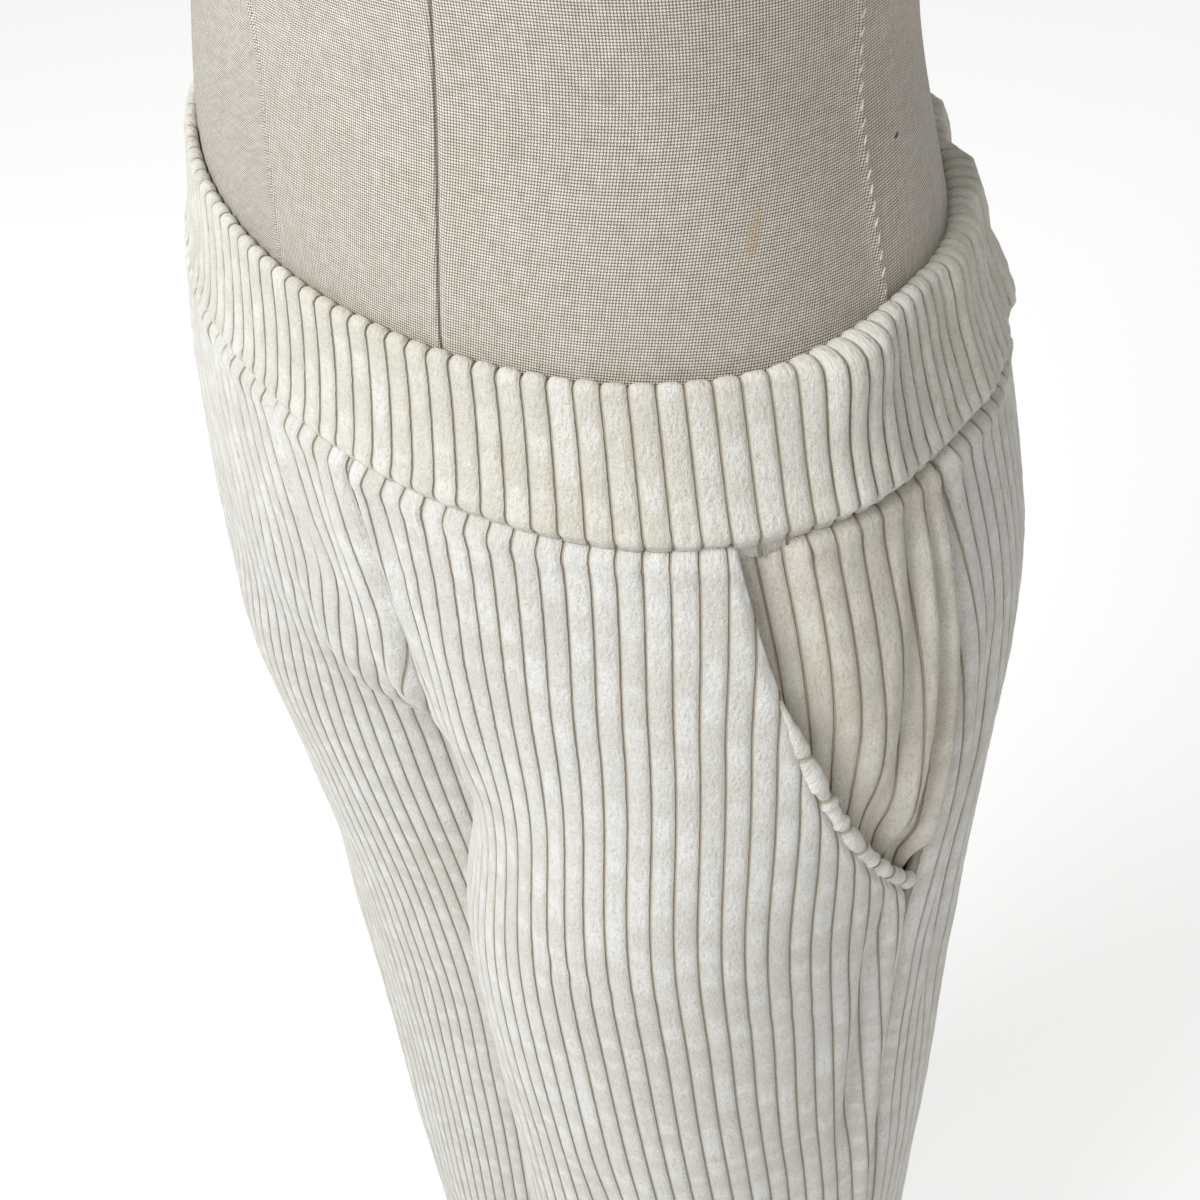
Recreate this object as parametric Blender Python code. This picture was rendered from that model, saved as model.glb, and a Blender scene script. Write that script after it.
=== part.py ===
"""Wide-leg corduroy trousers with a gathered waistband, worn by a limbless dress form on a stand.

Metres, +Z up. The form faces -Y, its left side is +X, and the stand's underside lies on Z = 0.
Heights in the tables are measured from the form's waist line, positive upwards.
"""
import math
from collections import namedtuple

import bmesh
import bpy
import numpy as np

# ---------------------------------------------------------------- driving sizes
WAIST_HEIGHT = 1.12          # form's waist line above the floor
SEAM_GAP = 0.0003            # clearance between neighbouring pieces
CLOTH_WALL = 0.002           # corduroy thickness
BAND_WALL = 0.003            # folded waistband thickness
BAND_DROP = 0.0467           # waistband height, measured straight down
BAND_EASE = 0.0045           # waistband's outer face off the form, at its top edge
REAR_DROP = 0.009            # how much lower the waistband lies behind the side seams
REAR_START = 97.0            # where it starts to sink, degrees from the front
REAR_REACH = 37.0            # and over how many degrees
HEM_HEIGHT = -1.03           # hem below the waist line
CROTCH_HEIGHT = -0.312       # crotch point below the waist line
THIGH_START = -0.160         # where the hips begin to turn into two legs
SIDE_SEAM_TURN = 101.0       # left side seam, degrees from the form's front
MEAN_TURN = 15.0             # how far the trousers are turned on the form, degrees
INSEAM_TURN = 12.0           # the same turn on the legs, measured on each leg's own ring
POCKET_INSET = 0.066         # pocket mouth in from the side seam, at the waistband
POCKET_DROP = 0.158          # pocket mouth's height
POCKET_CURVE = 2.4           # power of the mouth's scoop
POCKET_SINK = 0.0032         # pocket piece's outer face under the front panel's outer face
POCKET_WALL = 0.0012         # pocket piece's thickness
POCKET_LAP = 0.006           # pocket piece stays down this far outside the mouth
POCKET_HANG = 0.0045         # extra room behind the front panel, where the form has ended
POCKET_HANG_START = -0.205
POCKET_RISE = 0.016          # distance over which it then comes up to the side seam
EDGE_BEVEL = 0.0014          # inner edges of a wall, drawn back from its seams
CROTCH_RELIEF = 0.0035       # extra room where the four panels' corners meet
TOP_LEVEL = -0.105           # height at which the top row's distances are measured
POLE_RADIUS = 0.011
BASE_RADIUS = 0.195
BASE_EDGE = 0.008            # height of the base's straight edge
BASE_TOP = 0.018             # height of the base's crown, at its boss
BOSS_RADIUS = 0.024
BOSS_TOP = 0.052
FLANGE_RADIUS = 0.045
FLANGE_THICKNESS = 0.008
FOLD_START = 0.08            # the legs' folds begin this far under the crotch
INSEAM_CALM = 30.0           # degrees on either side of the inseam where they fade out
TWIST_REACH = 0.25           # length of leg over which the inseam takes its turn
RIGHT_TURN = 0.75            # share of the trousers' turn that the right leg's side seam takes
RING_MARGIN = 0.1            # a leg's distances are measured this far past its seams
RING_STEPS = 181
NORMAL_STEP = 0.0008         # height step that a normal is worked out over
NORMAL_REACH = 0.004         # share of a panel's width that a normal is worked out over
HANG_REACH = 0.05            # height over which the pocket takes up its extra room
HANG_INSET = 0.03            # and its distance in from the mouth

# ---------------------------------------------------------------- sections
Section = namedtuple("Section", "height half_width front back")
Leg = namedtuple("Leg", "height inner outer front back")
Turn = namedtuple("Turn", "height degrees")
Bag = namedtuple("Bag", "height inset")
Fold = namedtuple("Fold", "angle width depth")
Fork = namedtuple("Fork", "height valley curve")
Ring = namedtuple("Ring", "radius height")

FORM = [
    Section(-0.225, 0.1360, 0.0690, 0.1010),
    Section(-0.218, 0.1500, 0.0810, 0.1160),
    Section(-0.205, 0.1610, 0.0910, 0.1270),
    Section(-0.185, 0.1665, 0.0980, 0.1320),
    Section(-0.150, 0.1625, 0.1010, 0.1290),
    Section(-0.105, 0.1520, 0.0990, 0.1170),
    Section(-0.075, 0.1462, 0.0968, 0.1095),
    Section(-0.050, 0.1398, 0.0944, 0.1028),
    Section(0.000, 0.1269, 0.0880, 0.0936),
    Section(0.070, 0.1321, 0.0917, 0.0978),
    Section(0.140, 0.1394, 0.0992, 0.1040),
    Section(0.190, 0.1470, 0.1170, 0.1060),
    Section(0.230, 0.1515, 0.1140, 0.1060),
    Section(0.270, 0.1560, 0.1010, 0.1040),
    Section(0.305, 0.1620, 0.0900, 0.1000),
    Section(0.330, 0.1650, 0.0810, 0.0940),
    Section(0.350, 0.1570, 0.0730, 0.0870),
    Section(0.367, 0.1370, 0.0670, 0.0790),
    Section(0.383, 0.1080, 0.0615, 0.0700),
    Section(0.399, 0.0810, 0.0570, 0.0620),
    Section(0.415, 0.0640, 0.0530, 0.0560),
    Section(0.436, 0.0570, 0.0510, 0.0520),
    Section(0.470, 0.0560, 0.0500, 0.0500),
]

HIPS = [
    Section(-0.450, 0.1820, 0.1000, 0.1150),
    Section(-0.320, 0.1845, 0.1035, 0.1240),
    Section(-0.260, 0.1844, 0.1116, 0.1380),
    Section(-0.200, 0.1814, 0.1152, 0.1438),
    Section(-0.150, 0.1745, 0.1125, 0.1378),
    Section(-0.100, 0.1600, 0.1057, 0.1300),
    Section(-0.050, 0.1470, 0.0985, 0.1150),
]

LEFT_LEG = [
    Leg(-1.030, 0.0340, 0.1800, -0.0880, 0.0900),
    Leg(-0.800, 0.0310, 0.1810, -0.0920, 0.0930),
    Leg(-0.600, 0.0270, 0.1820, -0.0960, 0.0960),
    Leg(-0.450, 0.0220, 0.1820, -0.1000, 0.0970),
    Leg(-0.380, 0.0200, 0.1820, -0.1030, 0.0960),
    Leg(-0.312, 0.0182, 0.1820, -0.1060, 0.0980),
]

RIGHT_LEG = [
    Leg(-1.030, 0.0150, -0.1680, -0.0740, 0.0820),
    Leg(-0.800, 0.0150, -0.1740, -0.0780, 0.0860),
    Leg(-0.600, 0.0150, -0.1800, -0.0800, 0.0890),
    Leg(-0.450, 0.0158, -0.1850, -0.0850, 0.0930),
    Leg(-0.380, 0.0168, -0.1850, -0.0930, 0.0980),
    Leg(-0.312, 0.0178, -0.1845, -0.1020, 0.1040),
]

CENTRE_SEAM = [
    Turn(-0.312, 13.0),
    Turn(-0.250, 17.5),
    Turn(-0.200, 20.5),
    Turn(-0.175, 21.2),
    Turn(-0.150, 20.3),
    Turn(-0.105, 17.5),
    Turn(-0.050, 17.5),
]

# How far the centre seams have sunk from the hips' outline towards the crotch point: a shallow
# valley that the cloth makes between the thighs, and the short curve under the body.
FRONT_FORK = [
    Fork(-0.312, 0.230, 1.000),
    Fork(-0.3105, 0.228, 0.800),
    Fork(-0.306, 0.225, 0.600),
    Fork(-0.297, 0.220, 0.370),
    Fork(-0.285, 0.215, 0.190),
    Fork(-0.265, 0.205, 0.050),
    Fork(-0.245, 0.185, 0.000),
    Fork(-0.200, 0.100, 0.000),
    Fork(-0.160, 0.040, 0.000),
    Fork(-0.120, 0.000, 0.000),
]
BACK_FORK = [
    Fork(-0.312, 0.200, 1.000),
    Fork(-0.3105, 0.198, 0.820),
    Fork(-0.306, 0.195, 0.640),
    Fork(-0.297, 0.190, 0.440),
    Fork(-0.285, 0.180, 0.270),
    Fork(-0.265, 0.150, 0.110),
    Fork(-0.240, 0.110, 0.020),
    Fork(-0.200, 0.050, 0.000),
    Fork(-0.150, 0.000, 0.000),
]
VALLEY_REACH = 0.62          # share of a panel's width that the valley takes
CURVE_REACH = 0.27           # share of a panel's width that the crotch curve takes

POCKET_BAG = [
    Bag(-0.316, 0.118),
    Bag(-0.308, 0.142),
    Bag(-0.290, 0.152),
    Bag(-0.250, 0.145),
    Bag(-0.180, 0.115),
    Bag(-0.100, 0.090),
]

# Soft folds of each leg: angle round the leg from its inner side by way of the front, degrees,
# then the ridge's width in degrees and its height at the hem, negative for a trough.
LEG_FOLDS = [
    Fold(48.0, 26.0, 0.0045),
    Fold(96.0, 22.0, -0.0035),
    Fold(148.0, 30.0, 0.0040),
    Fold(214.0, 28.0, -0.0040),
    Fold(258.0, 24.0, 0.0055),
    Fold(312.0, 26.0, -0.0030),
]

# Rings of the neck cap, measured from the neck's top, and of the base, measured from the floor.
CAP_RINGS = [
    Ring(0.000, 0.000),
    Ring(0.058, 0.000),
    Ring(0.058, 0.008),
    Ring(0.040, 0.016),
    Ring(0.014, 0.019),
    Ring(0.008, 0.026),
    Ring(0.015, 0.036),
    Ring(0.011, 0.047),
    Ring(0.000, 0.051),
]
BASE_RINGS = [
    Ring(0.000, 0.000),
    Ring(BASE_RADIUS, 0.000),
    Ring(BASE_RADIUS, BASE_EDGE),
    Ring(BASE_RADIUS - 0.004, 0.011),
    Ring(BOSS_RADIUS + 0.012, BASE_TOP),
    Ring(BOSS_RADIUS, BASE_TOP + 0.008),
    Ring(BOSS_RADIUS - 0.004, BOSS_TOP),
    Ring(0.000, BOSS_TOP),
]
FORM_RIM = [0.000, 0.003, 0.009, 0.020]    # rows of the torso's rounded lower rim, above its underside

HIP_LEVELS = [-0.128, -0.150, -0.175, -0.200, -0.225, -0.250, -0.285, -0.297, -0.306, -0.3105, CROTCH_HEIGHT]
LEG_ROWS = 12
PANEL_COLUMNS = {"front": 13, "back": 15}
POCKET_COLUMNS = 8
BAND_COLUMNS = 72
FORM_COLUMNS = 44
FORM_ROW = 0.022


def smoothstep(value):
    """0 below 0, 1 above 1, with no kink at either end."""
    t = np.clip(value, 0.0, 1.0)
    return t * t * (3.0 - 2.0 * t)


def lookup(table, column, height):
    """A column of a table at any height, on a smooth curve through its rows."""
    rows = sorted(table)
    heights = np.array([row.height for row in rows])
    values = np.array([getattr(row, column) for row in rows])
    slopes = np.gradient(values, heights)
    height = np.clip(height, heights[0], heights[-1])
    index = np.clip(np.searchsorted(heights, height) - 1, 0, len(heights) - 2)
    span = heights[index + 1] - heights[index]
    t = (height - heights[index]) / span
    start = values[index] * (1 + 2 * t) * (1 - t) ** 2 + slopes[index] * span * t * (1 - t) ** 2
    end = values[index + 1] * t * t * (3 - 2 * t) + slopes[index + 1] * span * t * t * (t - 1)
    return start + end


def oval(table, angle, height):
    """Point of a section at an angle from the front, positive towards the form's left."""
    half_width = lookup(table, "half_width", height)
    depth = np.where(np.cos(angle) > 0, lookup(table, "front", height), lookup(table, "back", height))
    x = half_width * np.sin(angle)
    y = -depth * np.cos(angle)
    return np.stack(np.broadcast_arrays(x, y, height), axis=-1)


def hip_arc_table(height):
    """Angles round a hip section and the distance round it from the front to each of them."""
    angles = np.radians(np.arange(-270.0, 271.0, 1.0))
    points = oval(HIPS, angles, np.full_like(angles, height))
    steps = np.linalg.norm(np.diff(points, axis=0), axis=1)
    arcs = np.concatenate([[0.0], np.cumsum(steps)])
    return angles, arcs - np.interp(0.0, angles, arcs)


def seam_arcs(side, face, height):
    """Distances round the hips, from the form's front, of a panel's centre seam and side seam."""
    angles, arcs = hip_arc_table(height)
    girth = np.interp(math.pi, angles, arcs) - np.interp(-math.pi, angles, arcs)
    centre = np.interp(math.radians(lookup(CENTRE_SEAM, "degrees", height)), angles, arcs)
    left = np.interp(math.radians(SIDE_SEAM_TURN), angles, arcs)
    right = 2.0 * np.interp(math.radians(MEAN_TURN), angles, arcs) - left
    side_seam = left if side > 0 else right
    if face == "front":
        return centre, side_seam
    back_centre = (girth + left + right) / 2.0
    return (back_centre if side > 0 else back_centre - girth), side_seam


def panel_width(side, face, height):
    """Width of a panel at the hips."""
    centre, side_seam = seam_arcs(side, face, height)
    return abs(side_seam - centre)


def level_of(height):
    """The one height that a row's distances are measured at: a row along the waistband isn't level."""
    return TOP_LEVEL if np.ptp(height) > 0.0 else float(np.mean(height))


def hip_points(side, face, height, across):
    """Points of a row of a panel on the hips, where across runs from its centre to its side seam."""
    middle = level_of(height)
    angles, arcs = hip_arc_table(middle)
    centre, side_seam = seam_arcs(side, face, middle)
    angle = np.interp(centre + across * (side_seam - centre), arcs, angles)
    return oval(HIPS, angle, height)


def leg_ring(side, height, angle):
    """Point of a leg at an angle from its inner side, by way of the front."""
    table = LEFT_LEG if side > 0 else RIGHT_LEG
    inner, outer, front, back = (lookup(table, name, height) for name in Leg._fields[1:])
    start = CROTCH_HEIGHT - FOLD_START
    fullness = smoothstep((start - height) / (start - HEM_HEIGHT))
    degrees = np.degrees(angle) % 360.0
    ripple = np.zeros_like(degrees)
    for fold in LEG_FOLDS:
        distance = (degrees - fold.angle + 180.0) % 360.0 - 180.0
        ripple = ripple + fold.depth * np.exp(-(distance / fold.width) ** 2)
    from_inseam = (degrees + 180.0) % 360.0 - 180.0
    ripple = ripple * fullness * (1.0 - np.exp(-(from_inseam / INSEAM_CALM) ** 2))
    half_x = abs(outer - inner) / 2.0 + ripple
    half_y = (back - front) / 2.0 + ripple
    x = (inner + outer) / 2.0 - side * half_x * np.cos(angle)
    y = (front + back) / 2.0 - half_y * np.sin(angle)
    return np.stack(np.broadcast_arrays(x, y, height), axis=-1)


def leg_points(side, face, height, across):
    """Points of a row of a panel on a leg, where across runs from the inseam to the side seam."""
    middle = float(np.mean(height))
    twist = smoothstep((CROTCH_HEIGHT - middle) / TWIST_REACH)
    inseam = side * INSEAM_TURN * twist
    outseam = 180.0 + side * (SIDE_SEAM_TURN - 90.0)
    if side < 0:
        outseam = 180.0 - (2.0 * MEAN_TURN - SIDE_SEAM_TURN + 90.0) * RIGHT_TURN
    if face == "back":
        outseam = outseam - 360.0
    reach = np.linspace(-RING_MARGIN, 1.0 + RING_MARGIN, RING_STEPS)
    angles = np.radians(inseam + reach * (outseam - inseam))
    points = leg_ring(side, np.full_like(angles, middle), angles)
    arcs = np.concatenate([[0.0], np.cumsum(np.linalg.norm(np.diff(points, axis=0), axis=1))])
    start = np.interp(0.0, reach, arcs)
    end = np.interp(1.0, reach, arcs)
    angle = np.interp(start + across * (end - start), arcs, angles)
    return leg_ring(side, height, angle)


def cloth_points(side, face, height, across):
    """Outer face of a panel: the hips above, a leg below, joined by the crotch seam's curve."""
    hips = hip_points(side, face, height, across)
    legs = leg_points(side, face, np.minimum(height, CROTCH_HEIGHT), across)
    fork = FRONT_FORK if face == "front" else BACK_FORK
    valley = lookup(fork, "valley", height) * (1.0 - smoothstep(across / VALLEY_REACH))
    curve = lookup(fork, "curve", height) * (1.0 - smoothstep(across / CURVE_REACH))
    thigh = smoothstep((THIGH_START - height) / (THIGH_START - CROTCH_HEIGHT))
    away = np.maximum(valley, thigh * smoothstep(across / VALLEY_REACH))
    share = (away + (1.0 - away) * np.maximum(curve, thigh ** 4))[..., None]
    share = np.where(height[..., None] <= CROTCH_HEIGHT, 1.0, share)
    points = hips * (1.0 - share) + legs * share
    points[..., 2] = height
    return points


def cloth_normals(side, face, height, across):
    """Outward normals of a panel's outer face."""
    after = cloth_points(side, face, height, across + NORMAL_REACH)
    along = after - cloth_points(side, face, height, across - NORMAL_REACH)
    above = cloth_points(side, face, height + NORMAL_STEP, across)
    up = above - cloth_points(side, face, height - NORMAL_STEP, across)
    normal = np.cross(along, up) * side * (1.0 if face == "front" else -1.0)
    return normal / np.linalg.norm(normal, axis=-1, keepdims=True)


def band_bottom(angle):
    """Height of the waistband's lower edge: it dips at the front, and sinks behind the side seams."""
    turned = np.abs(np.arctan2(np.sin(angle), np.cos(angle)))
    sunk = REAR_DROP * smoothstep((turned - math.radians(REAR_START)) / math.radians(REAR_REACH))
    return -0.1024 - 0.009 * np.cos(angle) + 0.0012 * np.cos(2.0 * angle) - sunk


def panel_top(side, face, across):
    """Height of a panel's top edge, just under the waistband."""
    angles, arcs = hip_arc_table(TOP_LEVEL)
    centre, side_seam = seam_arcs(side, face, TOP_LEVEL)
    angle = np.interp(centre + across * (side_seam - centre), arcs, angles)
    return band_bottom(angle) - SEAM_GAP


def mouth_top(side):
    """Height at which the pocket's mouth meets the waistband."""
    share = POCKET_INSET / panel_width(side, "front", TOP_LEVEL)
    return float(panel_top(side, "front", np.array(1.0 - share)))


def mouth_inset(side, height):
    """Distance of the pocket's mouth from the side seam at a height."""
    depth = np.clip((mouth_top(side) - height) / POCKET_DROP, 0.0, 1.0)
    return POCKET_INSET * (1.0 - depth ** POCKET_CURVE)


def panel_levels(side):
    """Heights of a leg's rows under the waistband: closer where the crotch seam curves."""
    leg = list(np.linspace(CROTCH_HEIGHT, HEM_HEIGHT, LEG_ROWS + 1))[1:]
    mouth_end = mouth_top(side) - POCKET_DROP
    return sorted(HIP_LEVELS + [mouth_end] + leg, reverse=True)


# ---------------------------------------------------------------- building blocks
def clear_scene():
    for item in list(bpy.data.objects):
        bpy.data.objects.remove(item, do_unlink=True)


def finish(name, colour, roughness, metallic):
    material = bpy.data.materials.new(name)
    material.use_nodes = True
    shader = material.node_tree.nodes["Principled BSDF"]
    shader.inputs["Base Color"].default_value = (*colour, 1.0)
    shader.inputs["Roughness"].default_value = roughness
    shader.inputs["Metallic"].default_value = metallic
    return material


def place(name, mesh, material):
    piece = bpy.data.objects.new(name, mesh)
    piece.location.z = WAIST_HEIGHT
    mesh.materials.append(material)
    bpy.context.collection.objects.link(piece)
    return piece


def shade(mesh, degrees):
    mesh.shade_smooth()
    mesh.set_sharp_from_angle(angle=math.radians(degrees))


def wall(name, outer, inner, material, closed=False):
    """A cloth wall between two grids of points. A closed wall joins its last column to its first."""
    bm = bmesh.new()
    rows, columns = outer.shape[:2]
    out = [[bm.verts.new(outer[i, j]) for j in range(columns)] for i in range(rows)]
    back = [[bm.verts.new(inner[i, j]) for j in range(columns)] for i in range(rows)]
    spans = columns if closed else columns - 1
    for i in range(rows - 1):
        for j in range(spans):
            k = (j + 1) % columns
            bm.faces.new((out[i][j], out[i][k], out[i + 1][k], out[i + 1][j]))
            bm.faces.new((back[i][j], back[i + 1][j], back[i + 1][k], back[i][k]))
    for i, turn in ((0, 1), (rows - 1, -1)):
        for j in range(spans):
            k = (j + 1) % columns
            bm.faces.new((out[i][j], back[i][j], back[i][k], out[i][k])[::turn])
    if not closed:
        for j, turn in ((0, -1), (columns - 1, 1)):
            for i in range(rows - 1):
                bm.faces.new((out[i][j], back[i][j], back[i + 1][j], out[i + 1][j])[::turn])
    bmesh.ops.recalc_face_normals(bm, faces=bm.faces)
    mesh = bpy.data.meshes.new(name)
    bm.to_mesh(mesh)
    bm.free()
    shade(mesh, 40.0)
    return place(name, mesh, material)


def turned(name, profile, material, segments=48):
    """A solid of revolution about the stand's axis from (radius, height above the floor) points."""
    bm = bmesh.new()
    points = [bm.verts.new((radius, 0.0, height - WAIST_HEIGHT)) for radius, height in profile]
    edges = [bm.edges.new(pair) for pair in zip(points, points[1:])]
    bmesh.ops.spin(bm, geom=points + edges, cent=(0, 0, 0), axis=(0, 0, 1), angle=math.tau,
                   steps=segments, use_merge=True)
    bmesh.ops.remove_doubles(bm, verts=bm.verts, dist=0.00001)
    bmesh.ops.recalc_face_normals(bm, faces=bm.faces)
    mesh = bpy.data.meshes.new(name)
    bm.to_mesh(mesh)
    bm.free()
    shade(mesh, 35.0)
    return place(name, mesh, material)


# ---------------------------------------------------------------- trousers
def cloth_wall(side, face, height, across, sink, thickness):
    """Outer and inner points of one row of a wall, sunk below the cloth's outer face."""
    points = cloth_points(side, face, height, across)
    normals = cloth_normals(side, face, height, across)
    bevel = EDGE_BEVEL / panel_width(side, face, level_of(height))
    drawn_back = np.clip(across, across[0] + bevel, across[-1] - bevel)
    backing = cloth_points(side, face, height, drawn_back)
    if np.ptp(height) > 0.0:
        normals[:, 2] = 0.0
    return points - normals * sink, backing - normals * (sink + thickness)


def make_panel(side, face, material):
    """Front or back of one leg, from the waistband to the hem."""
    count = PANEL_COLUMNS[face]
    outer = []
    inner = []
    for level in [None] + panel_levels(side):
        middle = TOP_LEVEL if level is None else level
        width = panel_width(side, face, middle)
        edge = SEAM_GAP / 2 / width
        mouth = mouth_inset(side, middle) / width if face == "front" else 0.0
        fork = FRONT_FORK if face == "front" else BACK_FORK
        relief = CROTCH_RELIEF * lookup(fork, "curve", middle) if middle >= CROTCH_HEIGHT else 0.0
        across = np.linspace(edge + relief / width, 1.0 - edge - mouth, count)
        height = panel_top(side, face, across) if level is None else np.full(count, level)
        points, backing = cloth_wall(side, face, height, across, 0.0, CLOTH_WALL)
        outer.append(points)
        inner.append(backing)
    name = f"{face}_{'left' if side > 0 else 'right'}"
    return wall(name, np.array(outer), np.array(inner), material)


def make_pocket(side, material):
    """Corduroy back of a front pocket, which shows in the mouth and hangs behind the front panel."""
    bottom = POCKET_BAG[0].height
    outer = []
    inner = []
    for level in [None] + [h for h in panel_levels(side) if h > CROTCH_HEIGHT] + [bottom]:
        middle = TOP_LEVEL if level is None else level
        width = panel_width(side, "front", middle)
        start = 1.0 - lookup(POCKET_BAG, "inset", middle) / width
        across = np.linspace(start, 1.0 - SEAM_GAP / 2 / width, POCKET_COLUMNS)
        height = panel_top(side, "front", across) if level is None else np.full(POCKET_COLUMNS, level)
        inset = mouth_inset(side, middle)
        outside = (across - 1.0) * width + inset
        rise = smoothstep((outside - POCKET_LAP) / POCKET_RISE)
        lower = smoothstep((POCKET_HANG_START - middle) / HANG_REACH)
        hang = POCKET_HANG * lower * smoothstep(-outside / HANG_INSET)
        sink = (POCKET_SINK * (1.0 - rise) + hang)[:, None]
        points, backing = cloth_wall(side, "front", height, across, sink, POCKET_WALL)
        outer.append(points)
        inner.append(backing)
    name = f"pocket_{'left' if side > 0 else 'right'}"
    return wall(name, np.array(outer), np.array(inner), material)


def make_waistband(material):
    """One ring of folded corduroy, leaning out over the hips."""
    angles = np.radians(np.arange(BAND_COLUMNS) * 360.0 / BAND_COLUMNS)
    low = band_bottom(angles)
    outer = []
    for share in (1.0, 0.8, 0.5, 0.2, 0.0):
        height = low + share * BAND_DROP
        form = oval(FORM, angles, height)
        reach = np.linalg.norm(form[:, :2], axis=1, keepdims=True)
        close = form.copy()
        close[:, :2] *= 1.0 + BAND_EASE / reach
        full = oval(HIPS, angles, height)
        blend = smoothstep(share)
        outer.append(full * (1.0 - blend) + close * blend)
    outer = np.array(outer)
    inner = outer.copy()
    reach = np.linalg.norm(outer[..., :2], axis=-1, keepdims=True)
    inner[..., :2] *= 1.0 - BAND_WALL / reach
    return wall("waistband", outer, inner, material, closed=True)


# ---------------------------------------------------------------- dress form and stand
def make_torso(material):
    """The padded body of the form, from the neck to under the hips, as one smooth solid."""
    top = FORM[-1].height
    bottom = FORM[0].height
    rim = [bottom + step for step in FORM_RIM]
    rows = rim + list(np.linspace(rim[-1], top, round((top - rim[-1]) / FORM_ROW)))[1:]
    angles = np.radians(np.arange(FORM_COLUMNS) * 360.0 / FORM_COLUMNS)
    bm = bmesh.new()
    rings = [[bm.verts.new(point) for point in oval(FORM, angles, np.full_like(angles, h))] for h in rows]
    for lower, upper in zip(rings, rings[1:]):
        for j in range(FORM_COLUMNS):
            k = (j + 1) % FORM_COLUMNS
            bm.faces.new((lower[j], lower[k], upper[k], upper[j]))
    bm.faces.new(rings[0])
    bm.faces.new(rings[-1])
    bmesh.ops.recalc_face_normals(bm, faces=bm.faces)
    mesh = bpy.data.meshes.new("form_torso")
    bm.to_mesh(mesh)
    bm.free()
    shade(mesh, 40.0)
    return place("form_torso", mesh, material)


def make_neck_cap(material):
    """Turned wooden cap that closes the neck, with a small knob."""
    neck = FORM[-1]
    base = WAIST_HEIGHT + neck.height + SEAM_GAP
    profile = [(ring.radius, base + ring.height) for ring in CAP_RINGS]
    piece = turned("form_neck_cap", profile, material, segments=32)
    for vertex in piece.data.vertices:
        vertex.co.y *= neck.front / neck.half_width
    return piece


def make_stand(material):
    """Flange under the torso, pole and round base."""
    flange_top = WAIST_HEIGHT + FORM[0].height - SEAM_GAP
    flange_bottom = flange_top - FLANGE_THICKNESS
    pole_top = flange_bottom - SEAM_GAP
    pole_bottom = BOSS_TOP + SEAM_GAP
    for name, radius, low, high in (
        ("form_flange", FLANGE_RADIUS, flange_bottom, flange_top),
        ("form_pole", POLE_RADIUS, pole_bottom, pole_top),
    ):
        turned(name, [(0.0, low), (radius, low), (radius, high), (0.0, high)], material, segments=32)
    turned("form_base", BASE_RINGS, material, segments=56)


def main():
    clear_scene()
    corduroy = finish("corduroy", (0.86, 0.84, 0.77), 0.9, 0.0)
    linen = finish("linen", (0.62, 0.57, 0.49), 0.9, 0.0)
    wood = finish("cap_wood", (0.45, 0.29, 0.16), 0.5, 0.0)
    metal = finish("stand_metal", (0.10, 0.10, 0.10), 0.45, 0.6)
    make_torso(linen)
    make_neck_cap(wood)
    make_stand(metal)
    make_waistband(corduroy)
    for side in (1, -1):
        make_panel(side, "front", corduroy)
        make_panel(side, "back", corduroy)
        make_pocket(side, corduroy)


main()
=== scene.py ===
# %% [markdown]
# # Wide-leg corduroy trousers on a dress form
#
# Corduroy is a ribbed cloth: rows of cut pile, the wales, stand on a thin ground, with a
# narrow tan groove between each pair. On these trousers the wales are wide, so they are modelled as
# real ridges and not only as bump. Every panel is a grid whose columns follow the wales, laid on
# the same surface as its solid in the CAD model.

# %% Load the frame
import math
from collections import namedtuple

import bmesh
import bpy
import numpy as np
from mathutils import Matrix, Vector


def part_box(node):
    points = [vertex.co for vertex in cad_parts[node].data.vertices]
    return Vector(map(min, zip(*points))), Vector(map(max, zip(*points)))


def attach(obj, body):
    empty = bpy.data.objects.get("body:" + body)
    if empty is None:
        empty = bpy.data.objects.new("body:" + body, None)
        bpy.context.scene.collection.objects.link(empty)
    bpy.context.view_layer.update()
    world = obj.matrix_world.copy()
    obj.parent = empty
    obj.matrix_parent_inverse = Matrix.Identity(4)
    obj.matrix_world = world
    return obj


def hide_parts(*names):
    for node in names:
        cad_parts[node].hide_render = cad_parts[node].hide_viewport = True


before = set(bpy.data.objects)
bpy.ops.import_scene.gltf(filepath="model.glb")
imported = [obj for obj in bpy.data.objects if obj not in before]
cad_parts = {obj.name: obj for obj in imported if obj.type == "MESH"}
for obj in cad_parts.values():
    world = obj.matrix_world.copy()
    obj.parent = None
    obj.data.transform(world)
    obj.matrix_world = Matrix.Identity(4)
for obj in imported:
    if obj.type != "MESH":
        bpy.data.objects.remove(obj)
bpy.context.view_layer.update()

# %% [markdown]
# ## Camera
#
# The view is a close one of the waist and hips, from above and to the form's left. It is built from
# a few plain numbers: how far round the form the camera stands, how high, and how it is turned.

# %% Camera
WAIST_BELOW_UNDERSIDE = -0.225            # the torso's underside, measured from the waist line
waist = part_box("form_torso")[0].z - WAIST_BELOW_UNDERSIDE

CAMERA_AZIMUTH = math.radians(59.15)      # round the form from its front, towards its left
CAMERA_DISTANCE = 0.4644                  # from the form's axis, measured level
CAMERA_HEIGHT = 0.1861                    # above the waist line
CAMERA_YAW = math.radians(57.90)
CAMERA_PITCH = math.radians(44.25)
CAMERA_ROLL = math.radians(-3.31)
CAMERA_LENS = 48.98

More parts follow.
